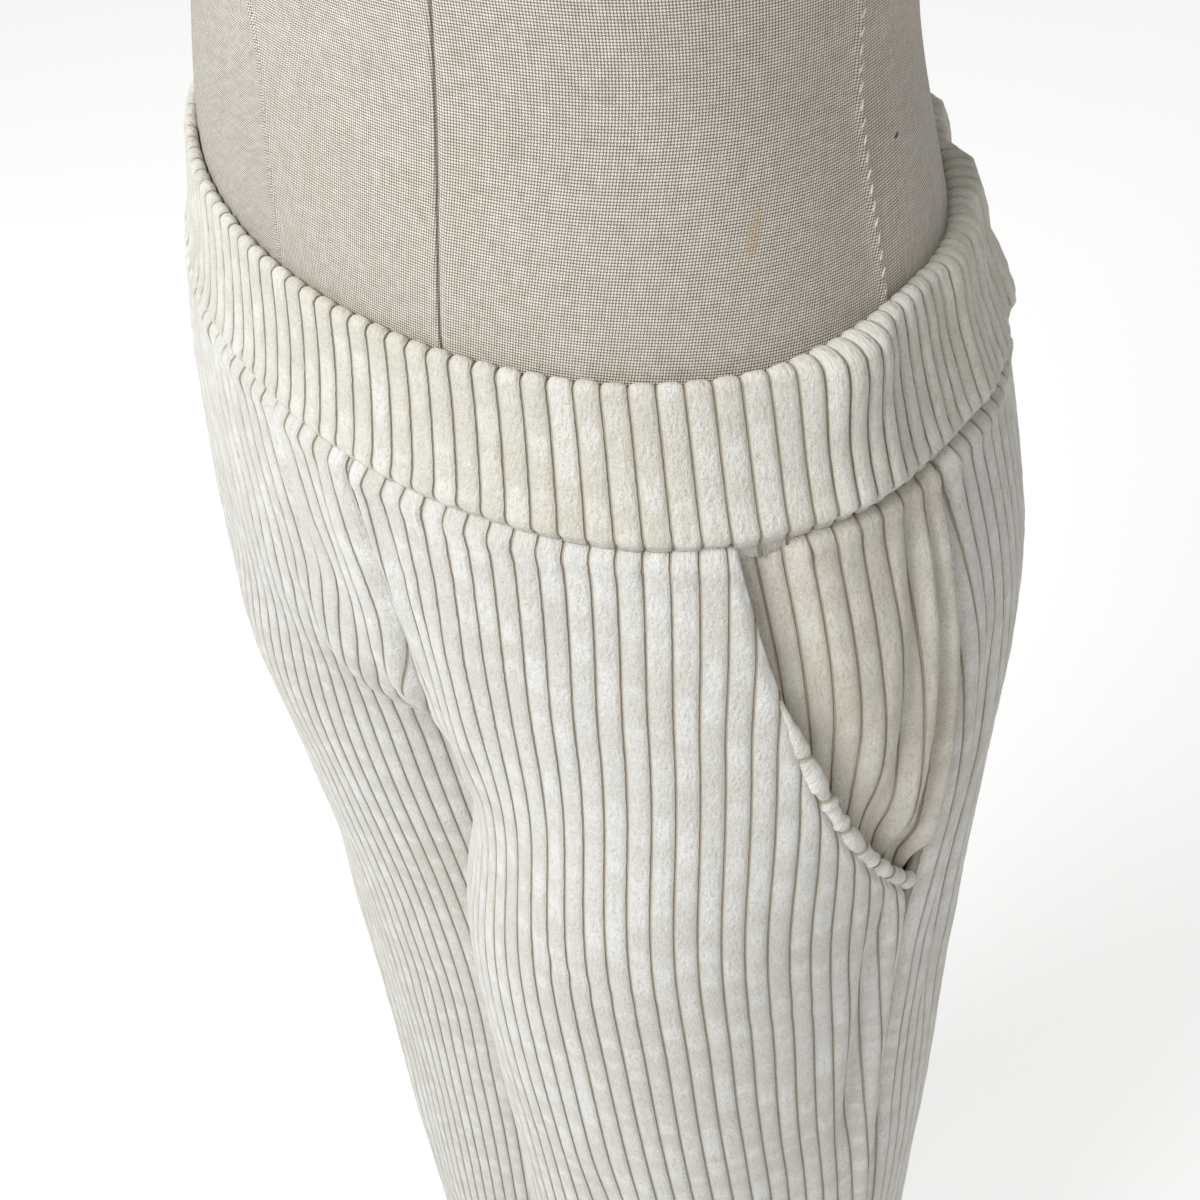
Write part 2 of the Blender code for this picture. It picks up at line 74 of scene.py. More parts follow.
camera_data = bpy.data.cameras.new("camera")
camera_data.lens = CAMERA_LENS
camera_data.clip_start = 0.01
camera = bpy.data.objects.new("camera", camera_data)
bpy.context.collection.objects.link(camera)
camera.matrix_world = (
    Matrix.Translation((CAMERA_DISTANCE * math.sin(CAMERA_AZIMUTH),
                        -CAMERA_DISTANCE * math.cos(CAMERA_AZIMUTH), waist + CAMERA_HEIGHT))
    @ Matrix.Rotation(CAMERA_YAW, 4, "Z")
    @ Matrix.Rotation(math.pi / 2 - CAMERA_PITCH, 4, "X")
    @ Matrix.Rotation(CAMERA_ROLL, 4, "Z")
)
bpy.context.scene.camera = camera
print("waist line at", round(waist, 4), "camera at", tuple(round(x, 3) for x in camera.location))

# %% [markdown]
# ## Shader maths
#
# A shader is a graph, but a formula is easier to read than a graph. This small class wraps a socket,
# so that Python's own operators add Math nodes, and one method adds any other node.


# %% A socket that does sums
class Wire:
    """An output socket that takes part in sums."""

    def __init__(self, finish, socket):
        self.finish = finish
        self.socket = socket

    def sum(self, operation, *values):
        return self.finish.add("ShaderNodeMath", {"operation": operation}, dict(enumerate(values)))

    def __add__(self, other):
        return self.sum("ADD", self, other)

    def __radd__(self, other):
        return self.sum("ADD", other, self)

    def __sub__(self, other):
        return self.sum("SUBTRACT", self, other)

    def __rsub__(self, other):
        return self.sum("SUBTRACT", other, self)

    def __mul__(self, other):
        return self.sum("MULTIPLY", self, other)

    def __rmul__(self, other):
        return self.sum("MULTIPLY", other, self)

    def __truediv__(self, other):
        return self.sum("DIVIDE", self, other)

    def __pow__(self, other):
        return self * self if other == 2.0 else self.sum("POWER", self, other)

    def __abs__(self):
        return self.sum("ABSOLUTE", self)

    def fract(self):
        return self.sum("FRACT", self)

    def floor(self):
        return self.sum("FLOOR", self)

    def ramp(self, low, high, start=0.0, end=1.0):
        """start below low, end above high, and an S curve between them."""
        return self.finish.add(
            "ShaderNodeMapRange", {"interpolation_type": "SMOOTHSTEP"},
            {"Value": self, "From Min": low, "From Max": high, "To Min": start, "To Max": end})


class Finish:
    """A material under construction."""

    def __init__(self, name):
        self.material = bpy.data.materials.new(name)
        self.material.use_nodes = True
        self.tree = self.material.node_tree
        self.shader = self.tree.nodes["Principled BSDF"]

    def add(self, kind, settings=None, inputs=None, output=0):
        """One node: its settings first, then its sockets' values or links."""
        node = self.tree.nodes.new(kind)
        for key, value in (settings or {}).items():
            setattr(node, key, value)
        for key, value in (inputs or {}).items():
            if isinstance(value, Wire):
                self.tree.links.new(value.socket, node.inputs[key])
            else:
                node.inputs[key].default_value = value
        return Wire(self, node.outputs[output])

    def uv(self, name):
        """The two coordinates of a UV map, in metres of flat cloth."""
        vector = self.add("ShaderNodeUVMap", {"uv_map": name})
        return [self.add("ShaderNodeSeparateXYZ", None, {0: vector}, axis) for axis in (0, 1)]

    def vector(self, x, y, z=0.0):
        return self.add("ShaderNodeCombineXYZ", None, {0: x, 1: y, 2: z})

    def noise(self, vector, scale=1.0, detail=2.0, roughness=0.5):
        return self.add("ShaderNodeTexNoise", None,
                        {"Vector": vector, "Scale": scale, "Detail": detail, "Roughness": roughness})

    def mix(self, factor, first, second, blend="MIX"):
        """Two colours mixed: 6 and 7 are the colour sockets of a Mix node, 0 its factor."""
        settings = {"data_type": "RGBA", "blend_type": blend}
        colours = {0: factor}
        for socket, colour in ((6, first), (7, second)):
            colours[socket] = colour if isinstance(colour, Wire) else (*colour, 1.0)
        return self.add("ShaderNodeMix", settings, colours, 2)

    def bump(self, height, distance, strength):
        return self.add("ShaderNodeBump", None,
                        {"Height": height, "Distance": distance, "Strength": strength})

    def set(self, **values):
        """Sockets of the Principled shader, with _ for a space."""
        for key, value in values.items():
            socket = self.shader.inputs[key.replace("_", " ")]
            if isinstance(value, Wire):
                self.tree.links.new(value.socket, socket)
            elif isinstance(value, tuple) and len(value) == 3:
                socket.default_value = (*value, 1.0)
            else:
                socket.default_value = value
        return self.material


print("shader helpers ready")

# %% [markdown]
# ## Corduroy
#
# Three things make corduroy look soft. Its crowns are pale and velvety, so they glow a little at a
# glancing angle: that is the sheen. Its grooves are a warmer tan, because the ground shows, and they
# and the wales' shoulders are darkened with painted shade for the light that is lost in them. And the
# pile is brushed this way and that, which catches the light in patches along each wale, each wale with
# its own: painted highlights where it is pale and painted shade where it is dull. The pattern reads
# the cut's own coordinates in metres, so that it follows the cloth wherever the panel goes.

# %% Corduroy finish
WALE_PITCH = 0.0075
CUT = "cut"                                # UV map: across the wales and along them, in metres


def corduroy_finish(name, shade=(1.0, 1.0, 1.0)):
    """Cream corduroy, and the same cloth in a slightly other tone where shade isn't white; on the pocket's
    facing that darker tone is painted shade.
    """
    made = Finish(name)
    across, along = made.uv(CUT)
    wales = across / WALE_PITCH
    from_crown = abs(wales.fract() - 0.5) * 2.0
    wale_number = wales.floor()
    # fibres: short strokes that lie along the wale
    fibre = made.noise(made.vector(across * 4200.0, along * 1500.0), detail=3.0, roughness=0.65)
    tufts = made.noise(made.vector(across * 900.0, along * 480.0, wale_number * 3.7), detail=2.0)
    # brushed patches of pile, of their own on each wale: painted highlights where pale, painted shade where
    # dull
    brushed = made.noise(made.vector(wale_number * 5.31, along * 95.0, from_crown * 0.6), detail=3.0)
    cloud = made.noise(made.vector(across * 16.0, along * 12.0), detail=2.0)
    cream = made.mix(cloud.ramp(0.38, 0.64), (0.735, 0.715, 0.650), (0.800, 0.795, 0.770))
    pale = made.mix(brushed.ramp(0.46, 0.66) * 0.75, cream, (0.920, 0.918, 0.905))
    dull = made.mix(brushed.ramp(0.50, 0.30) * 0.50, pale, (0.660, 0.640, 0.585))
    flecked = made.mix(fibre.ramp(0.42, 0.68) * 0.55, dull, (0.900, 0.890, 0.865))
    shaded = made.mix(fibre.ramp(0.50, 0.28) * 0.70, flecked, (0.500, 0.465, 0.385))
    clumped = made.mix(tufts.ramp(0.48, 0.25) * 0.45, shaded, (0.560, 0.525, 0.440))
    # painted shade on the wales' shoulders, darker towards each groove
    shoulder_shade_mask = from_crown.ramp(0.40, 0.95)
    shoulder_shaded = made.mix(shoulder_shade_mask * 0.45, clumped, (0.600, 0.550, 0.450))
    # the grooves: tan where the ground shows, with painted shade for the light lost in them; the same mask
    # also lowers the bump
    groove = (from_crown + (tufts - 0.5) * 0.16 + (fibre - 0.5) * 0.10).ramp(0.86, 0.99)
    groove_tan_and_shade = made.mix(groove * 0.58, shoulder_shaded, (0.450, 0.370, 0.255))
    toned = made.mix(1.0, groove_tan_and_shade, shade, "MULTIPLY")
    height = fibre * 0.40 + tufts * 0.75 + brushed * 0.35 - groove * 1.2
    return made.set(Base_Color=toned, Roughness=0.92, Normal=made.bump(height, 0.0016, 0.85),
                    Specular_IOR_Level=0.15, Sheen_Weight=0.20, Sheen_Roughness=0.45,
                    Sheen_Tint=(1.0, 0.985, 0.95))


corduroy = corduroy_finish("cream_corduroy")
band_corduroy = corduroy_finish("waistband_corduroy", (0.99, 0.975, 0.935))
# the pocket's facing: a darker copy of the corduroy, painted shade for its place recessed under the mouth
shaded_facing_corduroy = corduroy_finish("pocket_corduroy_shaded", (0.90, 0.865, 0.80))
print("corduroy:", len(corduroy.node_tree.nodes), "nodes")

# %% [markdown]
# ## Linen
#
# The form is covered in a plain-weave linen: warp and weft threads go over and under each other by
# turns. Each thread is a rounded ridge, the upper thread of each crossing is the one that shows, and
# threads of uneven thickness give the cloth its slubs. A seam attribute holds the distance to the
# nearest seam, and draws the narrow dark line of it.

# %% Linen finish
THREAD_PITCH = 0.00078
WEAVE = "weave"                            # UV map: round the form and up it, in metres
SEAM = "seam"                              # distance from the nearest seam, in millimetres
STAIN_CENTRE = (0.158, -0.028)
STAIN_SIZE = (0.0019, 0.0070)
SPECK_CENTRE = (0.2065, -0.021)
SPECK_SIZE = (0.0011, 0.0006)


def linen_finish():
    """Woven linen with its seams, one mark and one speck."""
    made = Finish("form_linen")
    around, up = made.uv(WEAVE)
    sway = made.noise(made.vector(around * 24.0, up * 24.0), detail=1.0) - 0.5
    warp = around / THREAD_PITCH + sway * 1.6
    weft = up / THREAD_PITCH + sway * 1.1
    slub_warp = made.noise(made.vector(warp.floor() * 9.7, up * 190.0), detail=2.0)
    slub_weft = made.noise(made.vector(weft.floor() * 7.3, around * 190.0, 4.0), detail=2.0)
    over = ((warp.floor() + weft.floor()) * 0.5).fract() * 2.0
    warp_arch = 1.0 - (abs(warp.fract() - 0.5) * (2.6 - slub_warp)) ** 2.0
    weft_arch = 1.0 - (abs(weft.fract() - 0.5) * (2.6 - slub_weft)) ** 2.0
    warp_on_top = warp_arch * 0.75 + weft_arch * 0.25
    weft_on_top = weft_arch * 0.75 + warp_arch * 0.25
    weave = over * warp_on_top + (1.0 - over) * weft_on_top
    thread = made.mix(slub_warp * 0.5 + slub_weft * 0.5, (0.560, 0.505, 0.420), (0.960, 0.940, 0.880))
    cloud = made.noise(made.vector(around * 9.0, up * 9.0), detail=3.0)
    mottled = made.mix(cloud.ramp(0.35, 0.68) * 0.28, thread, (0.600, 0.550, 0.470))
    # painted shade in the low gaps between the threads, darkest where the weave is lowest
    gap_shaded_weave = made.mix(weave.ramp(0.92, 0.42) * 0.95, mottled, (0.170, 0.135, 0.095))
    # a small pale-brown mark on the left side, and a dark speck behind the side seam
    edge = made.noise(made.vector(around * 300.0, up * 120.0)) - 0.5
    mark = (((around - STAIN_CENTRE[0]) / STAIN_SIZE[0]) ** 2.0
            + ((up - STAIN_CENTRE[1]) / STAIN_SIZE[1]) ** 2.0 + edge * 1.2)
    stained = made.mix(mark.ramp(1.3, 0.1) * 0.40, gap_shaded_weave, (0.420, 0.310, 0.130))
    speck = (((around - SPECK_CENTRE[0]) / SPECK_SIZE[0]) ** 2.0
             + ((up - SPECK_CENTRE[1]) / SPECK_SIZE[1]) ** 2.0 + edge * 1.5)
    marked = made.mix(speck.ramp(1.2, 0.6) * 0.90, stained, (0.030, 0.028, 0.025))
    seam = made.add("ShaderNodeAttribute", {"attribute_name": SEAM}, None, 2)
    line = abs(seam).ramp(0.45, 0.10)
    seamed = made.mix(line * 0.70, marked, (0.120, 0.090, 0.070))
    height = weave - line * 1.5
    return made.set(Base_Color=seamed, Roughness=0.9, Normal=made.bump(height, 0.00022, 0.9),
                    Specular_IOR_Level=0.2, Sheen_Weight=0.08, Sheen_Roughness=0.6)


linen = linen_finish()
print("linen:", len(linen.node_tree.nodes), "nodes")

# %% [markdown]
# ## Thread, wood and metal
#
# The hard parts are plain: a turned, oiled wooden neck cap, and a dark powder-coated stand. Their
# patterns read Object coordinates, which are metres here because every piece sits at the origin.


# %% Thread, wood and metal finishes
def object_place(made):
    """The Object coordinates, the fourth socket of their node."""
    return made.add("ShaderNodeTexCoord", None, None, 3)


def thread_finish():
    made = Finish("pale_thread")
    spot = object_place(made)
    twist = made.noise(spot, 2600.0, 2.0)
    colour = made.mix(twist.ramp(0.35, 0.65), (0.560, 0.520, 0.440), (0.780, 0.750, 0.690))
    return made.set(Base_Color=colour, Roughness=0.75, Normal=made.bump(twist, 0.0001, 0.6))


def wood_finish():
    made = Finish("turned_wood")
    spot = object_place(made)
    rings = made.add("ShaderNodeTexWave", {"wave_type": "RINGS", "rings_direction": "X"},
                     {"Vector": spot, "Scale": 38.0, "Distortion": 5.0, "Detail": 3.0, "Detail Scale": 1.6})
    pores = made.noise(spot, 900.0, 3.0, 0.7)
    grain = made.mix(rings.ramp(0.15, 0.85), (0.420, 0.250, 0.120), (0.255, 0.140, 0.062))
    colour = made.mix(pores.ramp(0.58, 0.74) * 0.45, grain, (0.140, 0.075, 0.036))
    return made.set(Base_Color=colour, Roughness=pores.ramp(0.2, 0.8, 0.38, 0.55),
                    Normal=made.bump(rings * 0.5 + pores * 0.5, 0.0002, 0.35), Coat_Weight=0.15)


def metal_finish():
    made = Finish("powder_coated_steel")
    spot = object_place(made)
    grain = made.noise(spot, 1800.0, 2.0)
    scuff = made.noise(spot, 14.0, 4.0, 0.65)
    colour = made.mix(scuff.ramp(0.45, 0.70), (0.030, 0.030, 0.032), (0.058, 0.057, 0.056))
    return made.set(Base_Color=colour, Metallic=0.35, Roughness=scuff.ramp(0.3, 0.75, 0.40, 0.56),
                    Normal=made.bump(grain, 0.00012, 0.5))


thread = thread_finish()
wood = wood_finish()
metal = metal_finish()
print("thread, wood and metal ready")

# %% [markdown]
# ## Sections of the form and the trousers
#
# These short tables are the pattern's sizes: sections of the body form, of the hips and of each leg.
# Heights are measured from the waist line. A smooth curve is read through the rows of each table.

# %% Tables
Section = namedtuple("Section", "height half_width front back")
Leg = namedtuple("Leg", "height inner outer front back")
Turn = namedtuple("Turn", "height degrees")
Bag = namedtuple("Bag", "height inset")
Fold = namedtuple("Fold", "angle width depth")
Fork = namedtuple("Fork", "height valley curve")
Ring = namedtuple("Ring", "radius height")
Grain = namedtuple("Grain", "height left_front right_front back")

FORM = [Section(*row) for row in (
    (-0.225, 0.1360, 0.0690, 0.1010),
    (-0.218, 0.1500, 0.0810, 0.1160),
    (-0.205, 0.1610, 0.0910, 0.1270),
    (-0.185, 0.1665, 0.0980, 0.1320),
    (-0.150, 0.1625, 0.1010, 0.1290),
    (-0.105, 0.1520, 0.0990, 0.1170),
    (-0.075, 0.1462, 0.0968, 0.1095),
    (-0.050, 0.1398, 0.0944, 0.1028),
    (0.000, 0.1269, 0.0880, 0.0936),
    (0.070, 0.1321, 0.0917, 0.0978),
    (0.140, 0.1394, 0.0992, 0.1040),
    (0.190, 0.1470, 0.1170, 0.1060),
    (0.230, 0.1515, 0.1140, 0.1060),
    (0.270, 0.1560, 0.1010, 0.1040),
    (0.305, 0.1620, 0.0900, 0.1000),
    (0.330, 0.1650, 0.0810, 0.0940),
    (0.350, 0.1570, 0.0730, 0.0870),
    (0.367, 0.1370, 0.0670, 0.0790),
    (0.383, 0.1080, 0.0615, 0.0700),
    (0.399, 0.0810, 0.0570, 0.0620),
    (0.415, 0.0640, 0.0530, 0.0560),
    (0.436, 0.0570, 0.0510, 0.0520),
    (0.470, 0.0560, 0.0500, 0.0500),
)]
HIPS = [Section(*row) for row in (
    (-0.450, 0.1820, 0.1000, 0.1150),
    (-0.320, 0.1845, 0.1035, 0.1240),
    (-0.260, 0.1844, 0.1116, 0.1380),
    (-0.200, 0.1814, 0.1152, 0.1438),
    (-0.150, 0.1745, 0.1125, 0.1378),
    (-0.100, 0.1600, 0.1057, 0.1300),
    (-0.050, 0.1470, 0.0985, 0.1150),
)]
LEFT_LEG = [Leg(*row) for row in (
    (-1.030, 0.0340, 0.1800, -0.0880, 0.0900),
    (-0.800, 0.0310, 0.1810, -0.0920, 0.0930),
    (-0.600, 0.0270, 0.1820, -0.0960, 0.0960),
    (-0.450, 0.0220, 0.1820, -0.1000, 0.0970),
    (-0.380, 0.0200, 0.1820, -0.1030, 0.0960),
    (-0.312, 0.0182, 0.1820, -0.1060, 0.0980),
)]
RIGHT_LEG = [Leg(*row) for row in (
    (-1.030, 0.0150, -0.1680, -0.0740, 0.0820),
    (-0.800, 0.0150, -0.1740, -0.0780, 0.0860),
    (-0.600, 0.0150, -0.1800, -0.0800, 0.0890),
    (-0.450, 0.0158, -0.1850, -0.0850, 0.0930),
    (-0.380, 0.0168, -0.1850, -0.0930, 0.0980),
    (-0.312, 0.0178, -0.1845, -0.1020, 0.1040),
)]
CENTRE_SEAM = [Turn(*row) for row in (
    (-0.312, 13.0),
    (-0.250, 17.5),
    (-0.200, 20.5),
    (-0.175, 21.2),
    (-0.150, 20.3),
    (-0.105, 17.5),
    (-0.050, 17.5),
)]
FRONT_FORK = [Fork(*row) for row in (
    (-0.312, 0.230, 1.000),
    (-0.3105, 0.228, 0.780),
    (-0.306, 0.225, 0.520),
    (-0.297, 0.220, 0.260),
    (-0.285, 0.215, 0.090),
    (-0.265, 0.205, 0.010),
    (-0.245, 0.185, 0.000),
    (-0.200, 0.100, 0.000),
    (-0.160, 0.040, 0.000),
    (-0.120, 0.000, 0.000),
)]
BACK_FORK = [Fork(*row) for row in (
    (-0.312, 0.200, 1.000),
    (-0.3105, 0.198, 0.820),
    (-0.306, 0.195, 0.640),
    (-0.297, 0.190, 0.440),
    (-0.285, 0.180, 0.270),
    (-0.265, 0.150, 0.110),
    (-0.240, 0.110, 0.020),
    (-0.200, 0.050, 0.000),
    (-0.150, 0.000, 0.000),
)]
POCKET_BAG = [Bag(*row) for row in (
    (-0.316, 0.118),
    (-0.308, 0.142),
    (-0.290, 0.152),
    (-0.250, 0.145),
    (-0.180, 0.115),
    (-0.100, 0.090),
)]
LEG_FOLDS = [Fold(*row) for row in (
    (48.0, 26.0, 0.0045),
    (96.0, 22.0, -0.0035),
    (148.0, 30.0, 0.0040),
    (214.0, 28.0, -0.0040),
    (258.0, 24.0, 0.0055),
    (312.0, 26.0, -0.0030),
)]
# Where each panel's side seam lies in its flat cut, across the wales, in metres.
SIDE_GRAIN = [Grain(*row) for row in (
    (-0.312, 0.190, 0.2333, 0.262),
    (-0.220, 0.200, 0.2333, 0.262),
    (-0.170, 0.200, 0.2315, 0.257),
    (-0.105, 0.189, 0.2027, 0.247),
)]
print(len(FORM), "sections of the form,", len(LEFT_LEG), "of each leg")

# %% Driving sizes of the trousers
SIDES = {1: "left", -1: "right"}           # the wearer's sides, and the sign of x on each
CLOTH_WALL = 0.002
POCKET_WALL = 0.0012
BAND_WALL = 0.0008
BAND_DROP = 0.0467                         # height of the waistband
BAND_EASE = 0.0045                         # between the form and the waistband's top
BAND_LINE = -0.1024                        # mean height of the waistband's lower edge
BAND_DIP = 0.009                           # how much lower it runs at the front
BAND_WAVE = 0.0012
REAR_DROP = 0.009                          # how far it sinks behind the side seams
REAR_START = 97.0                          # degrees from the front
REAR_REACH = 37.0
TOP_LEVEL = -0.105
THIGH_START = -0.160                       # where the thighs begin to part
CROTCH_HEIGHT = -0.312
FULLNESS_START = CROTCH_HEIGHT - 0.08      # where the folds of the legs begin
HEM_HEIGHT = -1.03
SIDE_SEAM_TURN = 101.0                     # degrees from the form's front to the left side seam
MEAN_TURN = 15.0                           # how far the trousers are turned on the form
INSEAM_TURN = 12.0
INSEAM_REACH = 0.25
INSEAM_FLAT = 30.0                         # degrees beside an inside seam that stay without folds
RIGHT_LEG_SHARE = 0.75                     # of the turn, left in the right leg's outside seam
POCKET_INSET = 0.066                       # mouth to side seam, at the waistband
POCKET_DROP = 0.158                        # height of the mouth
POCKET_CURVE = 2.4                         # power of the mouth's curve
POCKET_SINK = 0.0032                       # depth of the pocket's back under the panel
POCKET_LAP = 0.006
POCKET_RISE = 0.016
POCKET_HANG = 0.0045
POCKET_HANG_START = -0.205
VALLEY_REACH = 0.62                        # share of a panel's width that the valley takes
CURVE_REACH = 0.15
SEAM_GAP = 0.0003


# %% Curves through the tables
def smoothstep(value):
    """0 below 0, 1 above 1, with no kink at either end."""
    t = np.clip(value, 0.0, 1.0)
    return t * t * (3.0 - 2.0 * t)


def lookup(table, column, height):
    """A column of a table at any height, on a smooth curve through its rows."""
    heights = np.array([row.height for row in table])
    values = np.array([getattr(row, column) for row in table])
    slopes = np.gradient(values, heights)
    height = np.clip(height, heights[0], heights[-1])
    index = np.clip(np.searchsorted(heights, height) - 1, 0, len(heights) - 2)
    span = heights[index + 1] - heights[index]
    t = (height - heights[index]) / span
    start = values[index] * (1 + 2 * t) * (1 - t) ** 2 + slopes[index] * span * t * (1 - t) ** 2
    end = values[index + 1] * t * t * (3 - 2 * t) + slopes[index + 1] * span * t * t * (t - 1)
    return start + end


def oval(table, angle, height):
    """Point of a section at an angle from the front, positive towards the form's left."""
    half_width = lookup(table, "half_width", height)
    depth = np.where(np.cos(angle) > 0, lookup(table, "front", height), lookup(table, "back", height))
    points = (half_width * np.sin(angle), -depth * np.cos(angle), height)
    return np.stack(np.broadcast_arrays(*points), axis=-1)


def gathered_distance(points):
    """Distance along a row of points, from its first."""
    steps = np.linalg.norm(np.diff(points, axis=0), axis=1)
    return np.concatenate([[0.0], np.cumsum(steps)])


hip_line = oval(HIPS, np.radians(np.arange(361)), np.full(361, -0.2))
print("hip girth:", round(gathered_distance(hip_line)[-1], 3))

# %% [markdown]
# ## The surface that the cloth hangs on
#
# Above the crotch the four panels lie round the hips, and below it two by two round a leg. Each
# point of a panel is given by its height and by how far across the panel it is, from the centre
# seam, 0, to the side seam, 1. The hips and the legs are mixed smoothly, with a shallow valley
# between the thighs.


# %% Panels on the hips and legs
def section_arcs(table, height, low=-270.0, high=270.0):
    """Angles round a section, and the distance round it from the front to each of them."""
    angles = np.radians(np.arange(low, high + 1.0, 1.0))
    arcs = gathered_distance(oval(table, angles, np.full_like(angles, height)))
    return angles, arcs - np.interp(0.0, angles, arcs)


def seam_arcs(side, face, level):
    """Distances round the hips, from the form's front, of a panel's centre seam and side seam."""
    angles, arcs = section_arcs(HIPS, level)
    girth = np.interp(math.pi, angles, arcs) - np.interp(-math.pi, angles, arcs)
    centre = np.interp(math.radians(lookup(CENTRE_SEAM, "degrees", level)), angles, arcs)
    left = np.interp(math.radians(SIDE_SEAM_TURN), angles, arcs)
    right = 2.0 * np.interp(math.radians(MEAN_TURN), angles, arcs) - left
    side_seam = left if side > 0 else right
    if face == "front":
        return centre, side_seam
    back_centre = (girth + left + right) / 2.0
    return (back_centre if side > 0 else back_centre - girth), side_seam


def hip_angles(side, face, level, across):
    """Angles round the hips of places across a panel."""
    angles, arcs = section_arcs(HIPS, level)
    centre, side_seam = seam_arcs(side, face, level)
    return np.interp(centre + across * (side_seam - centre), arcs, angles)


def leg_ring(side, height, angle):
    """Point of a leg at an angle from its inner side, by way of the front."""
    table = LEFT_LEG if side > 0 else RIGHT_LEG
    inner, outer, front, back = (lookup(table, name, height) for name in Leg._fields[1:])
    fullness = smoothstep((FULLNESS_START - height) / (FULLNESS_START - HEM_HEIGHT))
    degrees = np.degrees(angle) % 360.0
    ripple = np.zeros_like(degrees)
    for fold in LEG_FOLDS:
        distance = (degrees - fold.angle + 180.0) % 360.0 - 180.0
        ripple = ripple + fold.depth * np.exp(-(distance / fold.width) ** 2)
    from_inseam = (degrees + 180.0) % 360.0 - 180.0
    ripple = ripple * fullness * (1.0 - np.exp(-(from_inseam / INSEAM_FLAT) ** 2))
    x = (inner + outer) / 2.0 - side * (abs(outer - inner) / 2.0 + ripple) * np.cos(angle)
    y = (front + back) / 2.0 - ((back - front) / 2.0 + ripple) * np.sin(angle)
    return np.stack(np.broadcast_arrays(x, y, height), axis=-1)


def leg_points(side, face, level, height, across):
    """Points of a row of a panel on its leg, from the inside seam to the outside one."""
    inseam = side * INSEAM_TURN * smoothstep((CROTCH_HEIGHT - level) / INSEAM_REACH)
    outseam = 180.0 + side * (SIDE_SEAM_TURN - 90.0)
    if side < 0:
        outseam = 180.0 - (2.0 * MEAN_TURN - SIDE_SEAM_TURN + 90.0) * RIGHT_LEG_SHARE
    if face == "back":
        outseam = outseam - 360.0
    reach = np.linspace(-0.1, 1.1, 181)
    angles = np.radians(inseam + reach * (outseam - inseam))
    arcs = gathered_distance(leg_ring(side, np.full_like(angles, level), angles))
    start = np.interp(0.0, reach, arcs)
    end = np.interp(1.0, reach, arcs)
    angle = np.interp(start + across * (end - start), arcs, angles)
    return leg_ring(side, height, angle)


def cloth_points(side, face, level, height, across):
    """Points of a row of a panel. level is the height at which its distances are measured."""
    hips = oval(HIPS, hip_angles(side, face, level, across), height)
    leg_level, leg_height = min(level, CROTCH_HEIGHT), np.minimum(height, CROTCH_HEIGHT)
    legs = leg_points(side, face, leg_level, leg_height, across)
    fork = FRONT_FORK if face == "front" else BACK_FORK
    valley = lookup(fork, "valley", height) * (1.0 - smoothstep(across / VALLEY_REACH))
    curve = lookup(fork, "curve", height) * (1.0 - smoothstep(across / CURVE_REACH))
    thigh = smoothstep((THIGH_START - height) / (THIGH_START - CROTCH_HEIGHT))
    away = np.maximum(valley, thigh * smoothstep(across / VALLEY_REACH))
    share = (away + (1.0 - away) * np.maximum(curve, thigh ** 4))[..., None]
    share = np.where(height[..., None] <= CROTCH_HEIGHT, 1.0, share)
    points = hips * (1.0 - share) + legs * share
    points[..., 2] = height
    return points


def cloth_normals(side, face, level, height, across):
    """Outward normals of a row."""
    step, reach = 0.0008, 0.004
    after = cloth_points(side, face, level, height, across + reach)
    along = after - cloth_points(side, face, level, height, across - reach)
    above = cloth_points(side, face, level + step, height + step, across)
    up = above - cloth_points(side, face, level - step, height - step, across)
    normal = np.cross(along, up) * side * (1.0 if face == "front" else -1.0)
    return normal / np.linalg.norm(normal, axis=-1, keepdims=True)


def panel_width(side, face, level):
    centre, side_seam = seam_arcs(side, face, level)
    return abs(side_seam - centre)


def band_bottom(angle):
    """Height of the waistband's lower edge: it dips at the front, and sinks behind the side seams."""
    turned = np.abs(np.arctan2(np.sin(angle), np.cos(angle)))
    sunk = REAR_DROP * smoothstep((turned - math.radians(REAR_START)) / math.radians(REAR_REACH))
    return BAND_LINE - BAND_DIP * np.cos(angle) + BAND_WAVE * np.cos(2.0 * angle) - sunk


def panel_top(side, face, across):
    """Height of a panel's top edge."""
    return band_bottom(hip_angles(side, face, TOP_LEVEL, across)) - SEAM_GAP


def mouth_top(side):
    """Height at which the pocket's mouth meets the waistband."""
    share = POCKET_INSET / panel_width(side, "front", TOP_LEVEL)
    return float(panel_top(side, "front", np.array(1.0 - share)))


def mouth_inset(side, height):
    """Distance of the pocket's mouth from the side seam at a height."""
    depth = np.clip((mouth_top(side) - height) / POCKET_DROP, 0.0, 1.0)
    return POCKET_INSET * (1.0 - depth ** POCKET_CURVE)


for wearer_side, side_name in SIDES.items():
    widths = [round(float(panel_width(wearer_side, f, -0.2)), 3) for f in ("front", "back")]
    print(side_name, "front and back widths:", widths)

# %% [markdown]
# ## Unevenness
#
# Real cloth repeats nothing exactly. A smooth noise over the cut, made from a small table of random
# numbers with a fixed seed, gives each wale its own swellings, and gives the same ones each run.


# %% Smooth noise
def cloudy(u, v, cell_u, cell_v, seed):
    """Noise from -1 to 1 that changes over about a cell."""
    table = np.random.default_rng(seed).uniform(-1.0, 1.0, (64, 64))
    x = np.asarray(u) / cell_u
    y = np.asarray(v) / cell_v
    i, j = np.floor(x).astype(int), np.floor(y).astype(int)
    a, b = smoothstep(x - i), smoothstep(y - j)
    low = table[i % 64, j % 64] * (1 - a) + table[(i + 1) % 64, j % 64] * a
    high = table[i % 64, (j + 1) % 64] * (1 - a) + table[(i + 1) % 64, (j + 1) % 64] * a
    return low * (1 - b) + high * b


